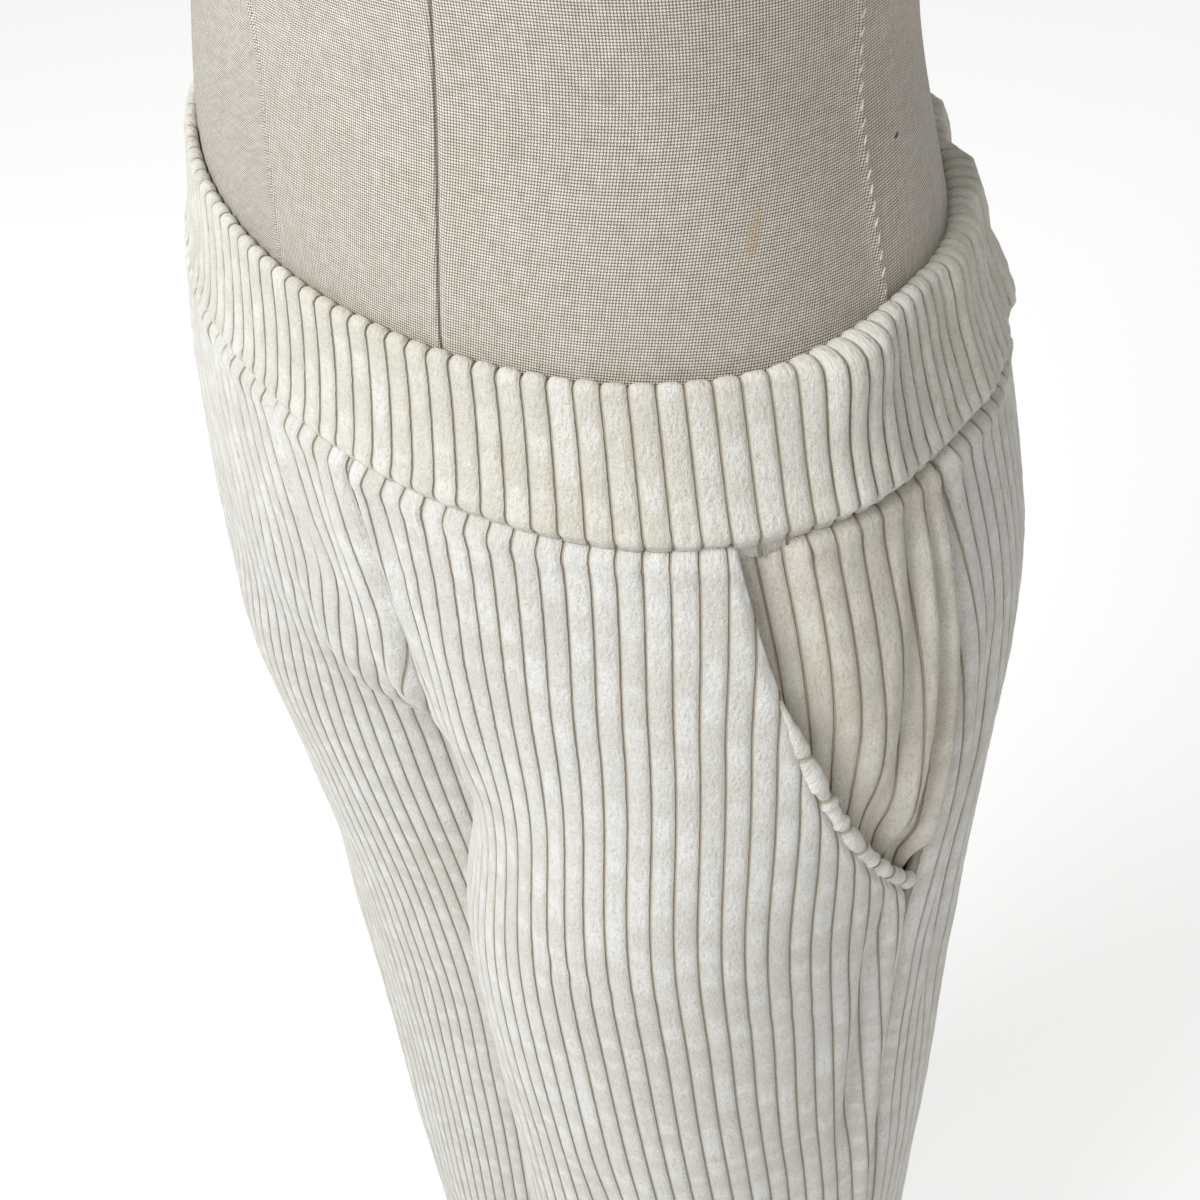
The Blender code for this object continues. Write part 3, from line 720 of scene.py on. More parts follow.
def bell(value, width):
    """1 at 0, falling to almost 0 two widths away."""
    return np.exp(-(value / width) ** 2)


# %% The wale
WALE_DEPTH = 0.00085
WALE_STEPS = (0.0, 0.10, 0.27, 0.5, 0.73, 0.90)    # columns of the grid over one wale


def crown(grain):
    """Height of the pile across the wales, 0 in a groove and 1 on a crown."""
    from_crown = np.abs(grain / WALE_PITCH % 1.0 - 0.5) * 2.0
    return (1.0 - from_crown ** 4.0) ** 0.8


def wale_columns(low, high):
    """Grain coordinates of a grid's columns, from below low to above high."""
    wales = np.arange(math.floor(low / WALE_PITCH), math.ceil(high / WALE_PITCH) + 1)
    return (wales[:, None] + np.array(WALE_STEPS)).ravel() * WALE_PITCH


print("columns over 0.2 m:", len(wale_columns(0.0, 0.2)))


# %% Mesh helpers
MERGE = 0.00002                            # corners closer than this become one
HARD_MERGE = 0.00001


def mesh_from(bm, name):
    """A new mesh from a finished bmesh."""
    mesh = bpy.data.meshes.new(name)
    bm.to_mesh(mesh)
    bm.free()
    return mesh


def close_ends(mesh):
    """Fills a tube's two open ends, and turns all of its faces outwards."""
    bm = bmesh.new()
    bm.from_mesh(mesh)
    bmesh.ops.holes_fill(bm, edges=[e for e in bm.edges if e.is_boundary], sides=0)
    bmesh.ops.recalc_face_normals(bm, faces=bm.faces)
    bm.to_mesh(mesh)
    bm.free()


def grid_mesh(name, points, uv, map_name):
    """A grid of quads on given points. Columns that fall together at an edge are merged."""
    rows, columns = points.shape[:2]
    bm = bmesh.new()
    bmesh.ops.create_grid(bm, x_segments=columns - 1, y_segments=rows - 1, size=0.5, calc_uvs=False)
    mesh = mesh_from(bm, name)
    flat = np.empty(rows * columns * 3, np.float32)
    mesh.vertices.foreach_get("co", flat)
    flat = flat.reshape(-1, 3)
    column = np.rint((flat[:, 0] + 0.5) * (columns - 1)).astype(int)
    row = np.rint((flat[:, 1] + 0.5) * (rows - 1)).astype(int)
    placed = points[row, column] + np.array([0.0, 0.0, waist])
    mesh.vertices.foreach_set("co", placed.astype(np.float32).ravel())
    corner = np.empty(len(mesh.loops), np.int32)
    mesh.loops.foreach_get("vertex_index", corner)
    layer = mesh.uv_layers.new(name=map_name)
    layer.data.foreach_set("uv", uv[row, column][corner].astype(np.float32).ravel())
    bm = bmesh.new()
    bm.from_mesh(mesh)
    bmesh.ops.remove_doubles(bm, verts=bm.verts, dist=MERGE)
    bm.to_mesh(mesh)
    bm.free()
    return mesh


def place(name, mesh, material, slot, *nodes, wall=None):
    """A finished piece: it rides on the one body and stands for its CAD nodes."""
    piece = bpy.data.objects.new(name, mesh)
    bpy.context.collection.objects.link(piece)
    mesh.shade_smooth()
    mesh.materials.append(material)
    if wall:
        shell = piece.modifiers.new("wall", "SOLIDIFY")
        shell.thickness = wall
        shell.offset = -1.0                # the wall goes inwards from the modelled face
    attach(piece, "root")
    if nodes:
        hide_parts(*nodes)
    print(name, len(mesh.polygons), "faces")
    return piece


# %% [markdown]
# ## Creases
#
# A crease is a soft trough, or a ridge, along a line of the panel. Each is listed: where it starts
# and ends, how wide and how deep it is. They are uneven on purpose. Distances are measured
# from the side seam for folds near it, and from the centre seam for folds near that.

# %% Creases
STEEP_FALL = 0.02                          # a crease that falls by less is taken as a level one
CREASE_OVERRUN = 0.10                      # shares of a crease's length
CREASE_FADE = 0.25
Crease = namedtuple("Crease", "seam start_at start_height end_at end_height width depth")
CREASES = {
    ("front", 1): [
        Crease("side", 0.141, -0.2757, 0.098, -0.2857, 0.0036, -0.0008),
        Crease("side", 0.098, -0.2857, 0.061, -0.2967, 0.0036, -0.0009),
        Crease("side", 0.061, -0.2967, 0.034, -0.3097, 0.0036, -0.0006),
        Crease("side", 0.016, -0.270, 0.019, -0.420, 0.0045, -0.0030),
        Crease("side", 0.026, -0.300, 0.031, -0.470, 0.0060, 0.0010),
        Crease("side", 0.009, -0.330, 0.008, -0.560, 0.0040, 0.0020),
        Crease("centre", 0.011, -0.125, 0.004, -0.215, 0.0050, -0.0016),
        Crease("centre", 0.028, -0.150, 0.022, -0.260, 0.0090, 0.0016),
        Crease("side", 0.185, -0.1439, 0.146, -0.1290, 0.0020, -0.0004),
        Crease("side", 0.120, -0.420, 0.110, -0.620, 0.0110, -0.0022),
        Crease("side", 0.070, -0.520, 0.082, -0.900, 0.0140, 0.0026),
    ],
    ("front", -1): [
        Crease("centre", 0.0425, -0.100, 0.0385, -0.170, 0.0022, -0.0020),
        Crease("centre", 0.030, -0.150, 0.020, -0.230, 0.0060, -0.0012),
        Crease("centre", 0.013, -0.120, 0.008, -0.220, 0.0060, 0.0018),
        Crease("centre", 0.060, -0.180, 0.050, -0.330, 0.0100, -0.0020),
        Crease("side", 0.018, -0.280, 0.022, -0.440, 0.0050, -0.0026),
        Crease("side", 0.090, -0.480, 0.100, -0.820, 0.0130, 0.0026),
    ],
    ("back", 1): [
        Crease("side", 0.010, -0.140, 0.012, -0.300, 0.0050, 0.0014),
        Crease("side", 0.024, -0.180, 0.030, -0.380, 0.0060, -0.0024),
        Crease("side", 0.060, -0.280, 0.072, -0.520, 0.0100, -0.0028),
        Crease("centre", 0.050, -0.200, 0.090, -0.330, 0.0090, -0.0032),
        Crease("centre", 0.070, -0.260, 0.120, -0.400, 0.0110, 0.0030),
    ],
    ("back", -1): [
        Crease("side", 0.014, -0.150, 0.018, -0.330, 0.0060, -0.0022),
        Crease("side", 0.050, -0.260, 0.066, -0.500, 0.0100, -0.0026),
        Crease("centre", 0.060, -0.210, 0.105, -0.345, 0.0090, -0.0032),
        Crease("centre", 0.040, -0.300, 0.070, -0.460, 0.0110, 0.0026),
    ],
}


def creased(crease, distance, height):
    """Height of a crease's ridge at points a distance from its seam."""
    fall = crease.end_height - crease.start_height
    drift = crease.end_at - crease.start_at
    if abs(fall) > STEEP_FALL:
        along = (height - crease.start_height) / fall
        across = distance - (crease.start_at + drift * along)
    else:
        along = (distance - crease.start_at) / drift
        across = height - (crease.start_height + fall * along)
    fade = smoothstep((along + CREASE_OVERRUN) / CREASE_FADE)
    fade = fade * smoothstep((1.0 + CREASE_OVERRUN - along) / CREASE_FADE)
    return crease.depth * bell(across, crease.width) * fade


print(sum(len(row) for row in CREASES.values()), "creases")

# %% [markdown]
# ## A panel
#
# Each row of a panel is a line round the body. Its columns are wales, at a constant pitch in the flat
# cut, so near a slanting seam they run off the edge, just as cut wales do. The rows are close
# under the waistband, where the seam pinches the cloth, and wide apart on the legs.

# %% Rows
LEVEL_BELOW = -0.150                       # rows are level from here down
PINCH_ROWS = (-0.0014, 0.0, 0.0012, 0.0026, 0.0045, 0.007, 0.010)    # below the waistband's edge
SLOPE_START = 0.0135
HIP_ROW = 0.0035
LEG_ROW = 0.0105
HEM_ROWS = (0.002, 0.0008, 0.0)            # above the hem
HEM_PINCH = 0.004


def row_list():
    """Share of the way down to the first level row, or the height, of each row."""
    sloped = [("sloped", d) for d in PINCH_ROWS]
    sloped += [("sloped", d) for d in np.arange(SLOPE_START, TOP_LEVEL - LEVEL_BELOW, HIP_ROW)]
    hip_rows = round((LEVEL_BELOW - CROTCH_HEIGHT) / HIP_ROW)
    leg_rows = round((CROTCH_HEIGHT - HEM_HEIGHT) / LEG_ROW)
    hips = np.linspace(LEVEL_BELOW, CROTCH_HEIGHT, hip_rows)
    legs = np.linspace(CROTCH_HEIGHT, HEM_HEIGHT + HEM_PINCH, leg_rows)[1:]
    hem = HEM_HEIGHT + np.array(HEM_ROWS)
    return sloped + [("level", h) for h in (*hips, *legs, *hem)]


ROWS = row_list()
print(len(ROWS), "rows")


# %% Row geometry
class Row:
    """One row of a panel: it turns a grain coordinate into a place on the body."""

    def __init__(self, side, face, kind, value):
        self.side, self.face = side, face
        drop = TOP_LEVEL - LEVEL_BELOW
        self.share = value / drop if kind == "sloped" else 1.0
        self.level = TOP_LEVEL - value if kind == "sloped" else value
        reach = np.linspace(-0.02, 1.02, 157)
        arcs = gathered_distance(cloth_points(side, face, self.level, self.height(reach), reach))
        arcs = arcs - np.interp(0.0, reach, arcs)
        self.width = float(np.interp(1.0, reach, arcs))
        self.reach, self.arcs = reach, arcs
        column = SIDES[side] + "_front" if face == "front" else "back"
        self.side_grain = float(lookup(SIDE_GRAIN, column, max(self.level, CROTCH_HEIGHT)))
        if self.level < CROTCH_HEIGHT:
            self.side_grain += (self.width - CROTCH_WIDTH[side, face]) / 2.0

    def height(self, across):
        top = panel_top(self.side, self.face, np.clip(across, 0.0, 1.0))
        sloped = top * (1.0 - self.share) + LEVEL_BELOW * self.share
        return sloped if self.share < 1.0 else np.full_like(across, self.level)

    def across(self, grain):
        return np.interp(grain - self.side_grain + self.width, self.arcs, self.reach)

    def grain(self, across):
        return self.side_grain - self.width + np.interp(across, self.reach, self.arcs)

    def points(self, across):
        return cloth_points(self.side, self.face, self.level, self.height(across), across)

    def normals(self, across):
        return cloth_normals(self.side, self.face, self.level, self.height(across), across)

    def mouth(self):
        """Inset of the pocket's mouth on this row."""
        inset = POCKET_INSET
        for _ in range(3):
            inset = float(mouth_inset(self.side, self.height(np.array([1.0 - inset / self.width]))[0]))
        return inset


CROTCH_WIDTH = {}
for wearer_side in SIDES:
    for panel_face in ("front", "back"):
        crotch_row = Row(wearer_side, panel_face, "level", CROTCH_HEIGHT)
        CROTCH_WIDTH[wearer_side, panel_face] = crotch_row.width
print("widths at the crotch:", {k: round(v, 3) for k, v in CROTCH_WIDTH.items()})

# %% [markdown]
# ## Relief of a panel
#
# On top of the hung surface come the wales, the swellings along each of them, the creases, and the
# pinch at every seam: cloth that is sewn and pressed open dips into its seam and swells beside it.

# %% Relief
SEAM_DIP = 0.0016
SEAM_DIP_WIDTH = 0.0022
SEAM_SWELL = 0.0008
SEAM_TUCK = 0.0035                         # how far a seam allowance goes in
TUFT_BELOW = 0.0042                        # from the waistband's seam to the swollen end of a wale


def seam_relief(distance, dip=SEAM_DIP, width=SEAM_DIP_WIDTH):
    """Dip at a seam and the low swelling beside it, from the distance to the seam."""
    return -dip * bell(distance, width) + SEAM_SWELL * bell(distance - 2.6 * width, 1.6 * width)


def top_relief(below_top, grain, seed):
    """The pinch under the waistband, and the swollen, tufted end of each wale below it."""
    wale = np.floor(grain / WALE_PITCH)
    swell = 0.0010 + 0.0005 * cloudy(wale * 5.0, 0.0 * wale, 1.0, 1.0, seed)
    pinch = 0.0019 * bell(np.maximum(below_top, 0.0), 0.0021)
    tucked = 0.0016 * smoothstep((0.0004 - below_top) / 0.0014)
    return swell * bell(below_top - TUFT_BELOW, 0.0032) - pinch - tucked


def wale_relief(grain, height, depth, seed):
    """The wales themselves, each with swellings of its own."""
    wale = np.floor(grain / WALE_PITCH)
    swelling = 0.16 * cloudy(wale * 5.0, height, 1.0, 0.0045, seed)
    swelling = swelling + 0.12 * cloudy(grain, height, 0.012, 0.022, seed + 1)
    return depth * (crown(grain) * (1.0 + swelling) - 0.5)


def panel_relief(side, face, grain, height, below_top, from_centre, from_side):
    """Everything that stands on a panel's hung surface."""
    seed = 10 + side + (4 if face == "back" else 0)
    relief = wale_relief(grain, height, WALE_DEPTH, seed)
    relief = relief + 0.0007 * cloudy(grain, height, 0.030, 0.060, seed + 2)
    relief = relief + top_relief(below_top, grain, seed + 3)
    relief = relief + seam_relief(from_centre) + seam_relief(from_side)
    for crease in CREASES[face, side]:
        distance = from_side if crease.seam == "side" else from_centre
        relief = relief + creased(crease, distance, height)
    return relief


def tuck_ends(values, normals=None):
    """Turns both ends of a row inwards, as a seam allowance; the cut's coordinates just repeat."""
    first, last = values[:1].copy(), values[-1:].copy()
    if normals is not None:
        first -= SEAM_TUCK * normals[:1]
        last -= SEAM_TUCK * normals[-1:]
    return np.concatenate([first, values, last])


# %% Front and back panels
EASE_REACH = 0.026
EASE_TOP = -0.165
EASE_BOTTOM = -0.42
WANDER = 0.00035                           # how far the wales stray from straight
RIM_SWELL = 0.0007                         # beside a pocket's open mouth
RIM_DIP = 0.0010
HEM_DIP = 0.0012


def softened(points, levels, across):
    """The row-by-row surface, eased up and down the panel so that the crotch leaves no shelf."""
    gap = (levels[:, None] - levels[None, :]) / EASE_REACH
    spacing = np.abs(np.gradient(levels))
    weights = np.exp(-gap ** 2) * spacing[None, :]
    weights /= weights.sum(axis=1, keepdims=True)
    eased = np.tensordot(weights, points, axes=(1, 0))
    eased[..., 2] = points[..., 2]
    band = smoothstep((EASE_TOP - levels) / 0.03) * smoothstep((levels - EASE_BOTTOM) / 0.05)
    share = (smoothstep(across / 0.12) * band[:, None])[..., None]
    return points * (1.0 - share) + eased * share


def make_panel(side, face):
    """A panel, its rows, and where each row starts and ends in the cut."""
    front = face == "front"
    rows = [Row(side, face, kind, value) for kind, value in ROWS]
    ends = []
    for row in rows:
        inset = row.mouth() if front and row.level > CROTCH_HEIGHT else 0.0
        ends.append((row.grain(0.0) + SEAM_GAP / 2, row.grain(1.0) - inset - SEAM_GAP / 2))
    columns = wale_columns(min(start for start, end in ends), max(end for start, end in ends))
    hung, raised, cut, shares = [], [], [], []
    for row, (start, end) in zip(rows, ends):
        grain = np.clip(columns, start, end)
        wander = WANDER * cloudy(grain, row.level, 0.02, 0.035, 77 + side)
        wander = wander * smoothstep((grain - start) / 0.004) * smoothstep((end - grain) / 0.004)
        across = row.across(grain + wander)
        height = row.height(across)
        below_top = panel_top(side, face, np.clip(across, 0.0, 1.0)) - height
        from_side = row.side_grain - grain
        relief = panel_relief(side, face, grain, height, below_top, grain - start, from_side)
        if front:
            rim = RIM_SWELL * bell(end - grain - 0.004, 0.003) - RIM_DIP * bell(end - grain, 0.0016)
            relief = relief + rim * float(smoothstep((row.grain(1.0) - end) / 0.004))
        relief = relief - HEM_DIP * bell(height - HEM_HEIGHT, 0.0012)
        normals = row.normals(across)
        hung.append(tuck_ends(row.points(across), normals))
        raised.append(tuck_ends(normals * relief[:, None]))
        cut.append(tuck_ends(np.stack([grain, height], axis=-1)))
        shares.append(tuck_ends(across))
    levels = np.array([row.level for row in rows])
    points = softened(np.array(hung), levels, np.array(shares)) + np.array(raised)
    name = f"{SIDES[side]}_{face}_panel"
    mesh = grid_mesh(name, points, np.array(cut), CUT)
    if (side > 0) == front:
        mesh.flip_normals()
    panel = place(name, mesh, corduroy, "corduroy", f"{face}_{SIDES[side]}", wall=CLOTH_WALL)
    return panel, rows, ends


panels = {}
for wearer_side in SIDES:
    for panel_face in ("front", "back"):
        panels[wearer_side, panel_face] = make_panel(wearer_side, panel_face)

# %% [markdown]
# ## Pockets
#
# A slanted front pocket shows its corduroy-faced back in the mouth. This piece lies a few
# millimetres under the front panel, comes up to the surface outside the mouth, and goes into the
# side seam and the waistband. Its upper outer corner is drawn into a fan of small folds.

# %% Pocket backs
FAN = [
    Crease("side", 0.0030, -0.100, 0.0045, -0.262, 0.0024, 0.0026),
    Crease("side", 0.0060, -0.100, 0.0120, -0.250, 0.0022, -0.0022),
    Crease("side", 0.0080, -0.104, 0.0190, -0.245, 0.0034, 0.0026),
    Crease("side", 0.0120, -0.100, 0.0290, -0.225, 0.0026, -0.0018),
    Crease("side", 0.0150, -0.100, 0.0400, -0.215, 0.0040, 0.0010),
]


def make_pocket(side):
    """The back of a pocket, from the bag's edge to the side seam."""
    bottom = POCKET_BAG[0].height
    rows = [Row(side, "front", kind, value) for kind, value in ROWS
            if kind == "sloped" or value > CROTCH_HEIGHT]
    shift = rows[0].side_grain
    widest = max(row.inset for row in POCKET_BAG)
    columns = wale_columns(shift - widest, shift)
    points, cut = [], []
    for row in rows:
        start = row.side_grain - float(lookup(POCKET_BAG, "inset", max(row.level, bottom)))
        end = row.side_grain - SEAM_GAP / 2
        grain = np.clip(columns + row.side_grain - shift, start, end)
        across = row.across(grain)
        height = row.height(across)
        outside = grain - row.side_grain + row.mouth()
        rise = smoothstep((outside - POCKET_LAP) / POCKET_RISE)
        lower = smoothstep((POCKET_HANG_START - row.level) / 0.05)
        sink = POCKET_SINK * (1.0 - rise) + POCKET_HANG * lower * smoothstep(-outside / 0.03)
        sink = sink + 0.0026 * bell(outside - 0.004, 0.012)
        shows = smoothstep(outside / 0.004)
        below_top = panel_top(side, "front", np.clip(across, 0.0, 1.0)) - height
        from_side = row.side_grain - grain
        flat = grain - row.side_grain + shift
        relief = wale_relief(flat, height, WALE_DEPTH * (0.35 + 0.65 * shows), 30 + side)
        relief = relief - WALE_DEPTH * 0.5
        relief = relief + top_relief(below_top, flat, 33 + side)
        relief = relief + seam_relief(from_side, 0.0018, 0.0020) * shows
        relief = relief + 0.0006 * cloudy(flat, height, 0.022, 0.030, 40 + side) * shows
        for crease in FAN:
            relief = relief + creased(crease, from_side, height) * shows * smoothstep(from_side / 0.0022)
        normals = row.normals(across)
        points.append(tuck_ends(row.points(across) + normals * (relief - sink)[:, None], normals))
        cut.append(tuck_ends(np.stack([flat, height], axis=-1)))
    name = SIDES[side] + "_pocket_back"
    mesh = grid_mesh(name, np.array(points), np.array(cut), CUT)
    if side > 0:
        mesh.flip_normals()
    return place(name, mesh, shaded_facing_corduroy, "corduroy", "pocket_" + SIDES[side], wall=POCKET_WALL)


pockets = {wearer_side: make_pocket(wearer_side) for wearer_side in SIDES}

# %% [markdown]
# ## Pocket mouths
#
# The lower half of each mouth is turned under and stitched, which leaves a soft roll along the edge,
# pulled in at every groove. A ring of points is swept along the mouth, fat on the wales and thin
# between them.

# %% Rolled edge of a mouth
ROLL_RADIUS = 0.0021
ROLL_START = 0.30                          # shares of the mouth's height
ROLL_END = 0.995
ROLL_POINTS = 170


def make_mouth_roll(side):
    """The turned edge of one mouth."""
    top = mouth_top(side)
    down = np.linspace(0.0, 1.0, ROLL_POINTS) ** 0.7
    heights = top - POCKET_DROP * (ROLL_START + (ROLL_END - ROLL_START) * down)
    centres, outs, grains = [], [], []
    for height in heights:
        if height <= LEVEL_BELOW:
            row = Row(side, "front", "level", height)
        else:
            drop = (top - height) * (TOP_LEVEL - LEVEL_BELOW) / (top - LEVEL_BELOW)
            row = Row(side, "front", "sloped", drop)
        across = row.across(np.array([row.side_grain - row.mouth() - 0.0010]))
        grains.append(row.grain(across)[0])
        outs.append(row.normals(across)[0])
        centres.append(row.points(across)[0] - 0.0008 * outs[-1])
    centres, outs, grains = np.array(centres), np.array(outs), np.array(grains)
    tangents = np.gradient(centres, axis=0)
    tangents /= np.linalg.norm(tangents, axis=1, keepdims=True)
    sideways = np.cross(tangents, outs)
    length = gathered_distance(centres)
    share = length / length[-1]
    beads = crown(grains + 0.0005 * cloudy(length, 0 * length, 0.004, 1.0, 91))
    swell = smoothstep(share / 0.18) * smoothstep((1.0 - share) / 0.04)
    lumps = (1.0 + 0.20 * cloudy(length, 0 * length, 0.0022, 1.0, 92)
             + 0.12 * cloudy(length, 0 * length, 0.011, 1.0, 93))
    radius = ROLL_RADIUS * (0.25 + 0.75 * swell) * (0.66 + 0.34 * beads) * lumps
    turn = np.linspace(0.0, 2.0 * math.pi, 15)
    ring = np.cos(turn)[:, None, None] * sideways * 1.30 + np.sin(turn)[:, None, None] * outs
    points = centres + ring * radius[None, :, None]
    cut = np.stack(np.broadcast_arrays(grains[None, :], turn[:, None] * 0.0024 + length[None, :]), axis=-1)
    name = SIDES[side] + "_mouth_roll"
    mesh = grid_mesh(name, points, cut, CUT)
    close_ends(mesh)
    return place(name, mesh, corduroy, "corduroy")


rolls = {wearer_side: make_mouth_roll(wearer_side) for wearer_side in SIDES}

# %% [markdown]
# ## Waistband
#
# One long strip, folded over at the top. Elastic inside its back half draws it up, so there the
# wales crowd together and stand out in a thick roll, while the front lies almost flat. The strip is
# one grid: up the outside, over the fold and down the inside.

# %% Waistband
BAND_FOLD_RADIUS = 0.0019
BAND_OUTSIDE = (-0.0006, 0.0002, 0.0010, 0.0018, 0.003, 0.0048, 0.0075, 0.011, 0.015, 0.020, 0.025,
                0.030, 0.034, 0.038, 0.041, 0.0430)                    # heights of the rows
BAND_INSIDE = (0.0415, 0.036, 0.028, 0.018, 0.008, 0.001, -0.005)
FOLD_STEPS = 6
GATHER_START = 58.0                        # degrees from the trousers' centre front
GATHER_FULL = 76.0
GATHER_RATIO = 1.42
CORNER_TURN = 88.0                         # degrees: a soft corner where the elastic ends


def gather(angle):
    """0 on the flat front and 1 where the elastic draws the band up."""
    from_front = np.abs((np.degrees(angle) - MEAN_TURN + 180.0) % 360.0 - 180.0)
    return smoothstep((from_front - GATHER_START) / (GATHER_FULL - GATHER_START))


def band_outer(angle, share):
    """Outer face of the band at a share of its height."""
    height = band_bottom(angle) + share * BAND_DROP
    form = oval(FORM, angle, height)
    reach = np.linalg.norm(form[..., :2], axis=-1, keepdims=True)
    close = form.copy()
    close[..., :2] *= 1.0 + BAND_EASE / reach
    full = oval(HIPS, angle, height)
    blend = smoothstep(share)[..., None]
    return full * (1.0 - blend) + close * blend


def make_band():
    """The waistband, and the length of the strip it was cut from."""
    dense = np.linspace(-math.pi, math.pi, 2881)
    middle = gathered_distance(band_outer(dense, np.full_like(dense, 0.5)))
    density = 1.0 + (GATHER_RATIO - 1.0) * gather(dense)
    flat = np.concatenate([[0.0], np.cumsum((density[1:] + density[:-1]) / 2.0 * np.diff(middle))])
    wales = round(flat[-1] / WALE_PITCH)
    flat *= wales * WALE_PITCH / flat[-1]
    columns = (np.arange(wales)[:, None] + np.array(WALE_STEPS)).ravel() * WALE_PITCH
    columns = np.append(columns, wales * WALE_PITCH)
    angle = np.interp(columns, flat, dense)
    drawn = gather(angle)
    inward = np.stack([-np.sin(angle), np.cos(angle), 0 * angle], axis=-1)
    profile = [(y, "out", 0.0) for y in BAND_OUTSIDE]
    turns = np.linspace(0.0, math.pi, FOLD_STEPS + 1)[1:-1]
    profile += [(BAND_OUTSIDE[-1], "fold", turn) for turn in turns]
    profile += [(y, "in", math.pi) for y in BAND_INSIDE]
    points, cut = [], []
    run = previous = 0.0
    scallop = crown(columns)
    number = np.floor(columns / WALE_PITCH)
    bunch = cloudy(columns, 0 * columns, 0.0165, 1.0, 55)
    for y, part, turn in profile:
        share = np.full_like(angle, y / BAND_DROP)
        base = band_outer(angle, share)
        lean = 0.0004 * cloudy(columns, y, 0.02, 0.03, 57)
        ridge = scallop * (1.0 + 0.22 * cloudy(number * 5.0, y, 1.0, 0.007, 58))
        depth = WALE_DEPTH * (1.0 + 0.75 * drawn)
        tuft = (0.0010 + 0.0004 * bunch) * bell(y - TUFT_BELOW, 0.0030) - 0.0021 * bell(max(y, 0.0), 0.0019)
        puff = 0.0026 * drawn * (0.45 + 0.9 * bunch) * smoothstep(y / 0.008)
        roll = 0.0018 * drawn * (1.0 + 0.4 * bunch) * bell(y - 0.040, 0.009)
        corner = 0.0035 * bell(np.degrees(angle) - CORNER_TURN, 9.0) * smoothstep((y - 0.012) / 0.03)
        out = depth * (ridge - 0.5) + tuft + puff + roll + lean + corner
        rise = 0.0
        if part != "out":
            swing = BAND_FOLD_RADIUS * (1.0 + 0.35 * drawn) * (1.0 + 0.25 * (ridge - 0.5))
            out = out * (0.5 + 0.5 * math.cos(turn)) + swing * (math.cos(turn) - 1.0)
            rise = swing * math.sin(turn) + (scallop - 0.4) * (0.0012 + 0.0005 * bunch) * math.sin(turn)
        row = base - inward * out[:, None]
        row[:, 2] += rise
        points.append(row)
        run += abs(y - previous) if part != "fold" else BAND_FOLD_RADIUS * math.pi / FOLD_STEPS
        previous = y
        cut.append(np.stack([columns, np.full_like(columns, run)], axis=-1))
    mesh = grid_mesh("folded_waistband", np.array(points), np.array(cut), CUT)
    band = place("folded_waistband", mesh, band_corduroy, "corduroy", "waistband", wall=BAND_WALL)
    return band, wales * WALE_PITCH


waistband, band_length = make_band()
print("waistband cut:", round(band_length, 3), "m long")

# %% [markdown]
# ## Dress form
#
# The torso is a tight linen cover on a padded shell. Its seams run from neck to hips: one down the
# front and the back, one down each side, and curved princess seams between. The grid has a narrow
# pair of columns beside each seam, so that the seam is a real, shallow groove.

# %% Torso
FormSeam = namedtuple("FormSeam", "name low middle high")     # degrees from the front, by height
FORM_SEAMS = [FormSeam(*row) for row in (
    ("front", 4.5, 0.5, 1.0),
    ("left_princess", 32.4, 38.5, 30.0),
    ("left_side", 99.0, 99.5, 96.0),
    ("left_back", 146.0, 145.0, 150.0),
    ("back", 181.0, 180.0, 180.0),
    ("right_back", 214.0, 215.0, 210.0),
    ("right_side", 261.0, 260.5, 264.0),
    ("right_princess", 327.6, 321.5, 330.0),
)]
HAND_SEWN = ("left_side", "right_side")
STITCHED = (*HAND_SEWN, "front")
SWING_HEIGHTS = (-0.06, 0.08, 0.30)        # of a seam's low, middle and high angles
SEAM_COLUMNS = (0.0, 0.007, 0.018, 0.04)   # shares of a cover panel's width
COLUMNS_BETWEEN = 17
UNDERSIDE_ROWS = (0.0, 0.0015, 0.004, 0.009)
FORM_ROW = 0.0042


def seam_angle(seam, height):
    """Degrees from the front of a seam: it swings between the hips, the waist and the bust."""
    return np.interp(height, SWING_HEIGHTS, [seam.low, seam.middle, seam.high])


def form_columns():
    """Where the columns are, counted in seams."""
    near = np.array(SEAM_COLUMNS)
    between = np.linspace(near[-1], 1.0 - near[-1], COLUMNS_BETWEEN + 2)[1:-1]
    one = np.concatenate([near, between, 1.0 - near[:0:-1]])
    return np.concatenate([k + one for k in range(len(FORM_SEAMS))] + [[len(FORM_SEAMS)]])


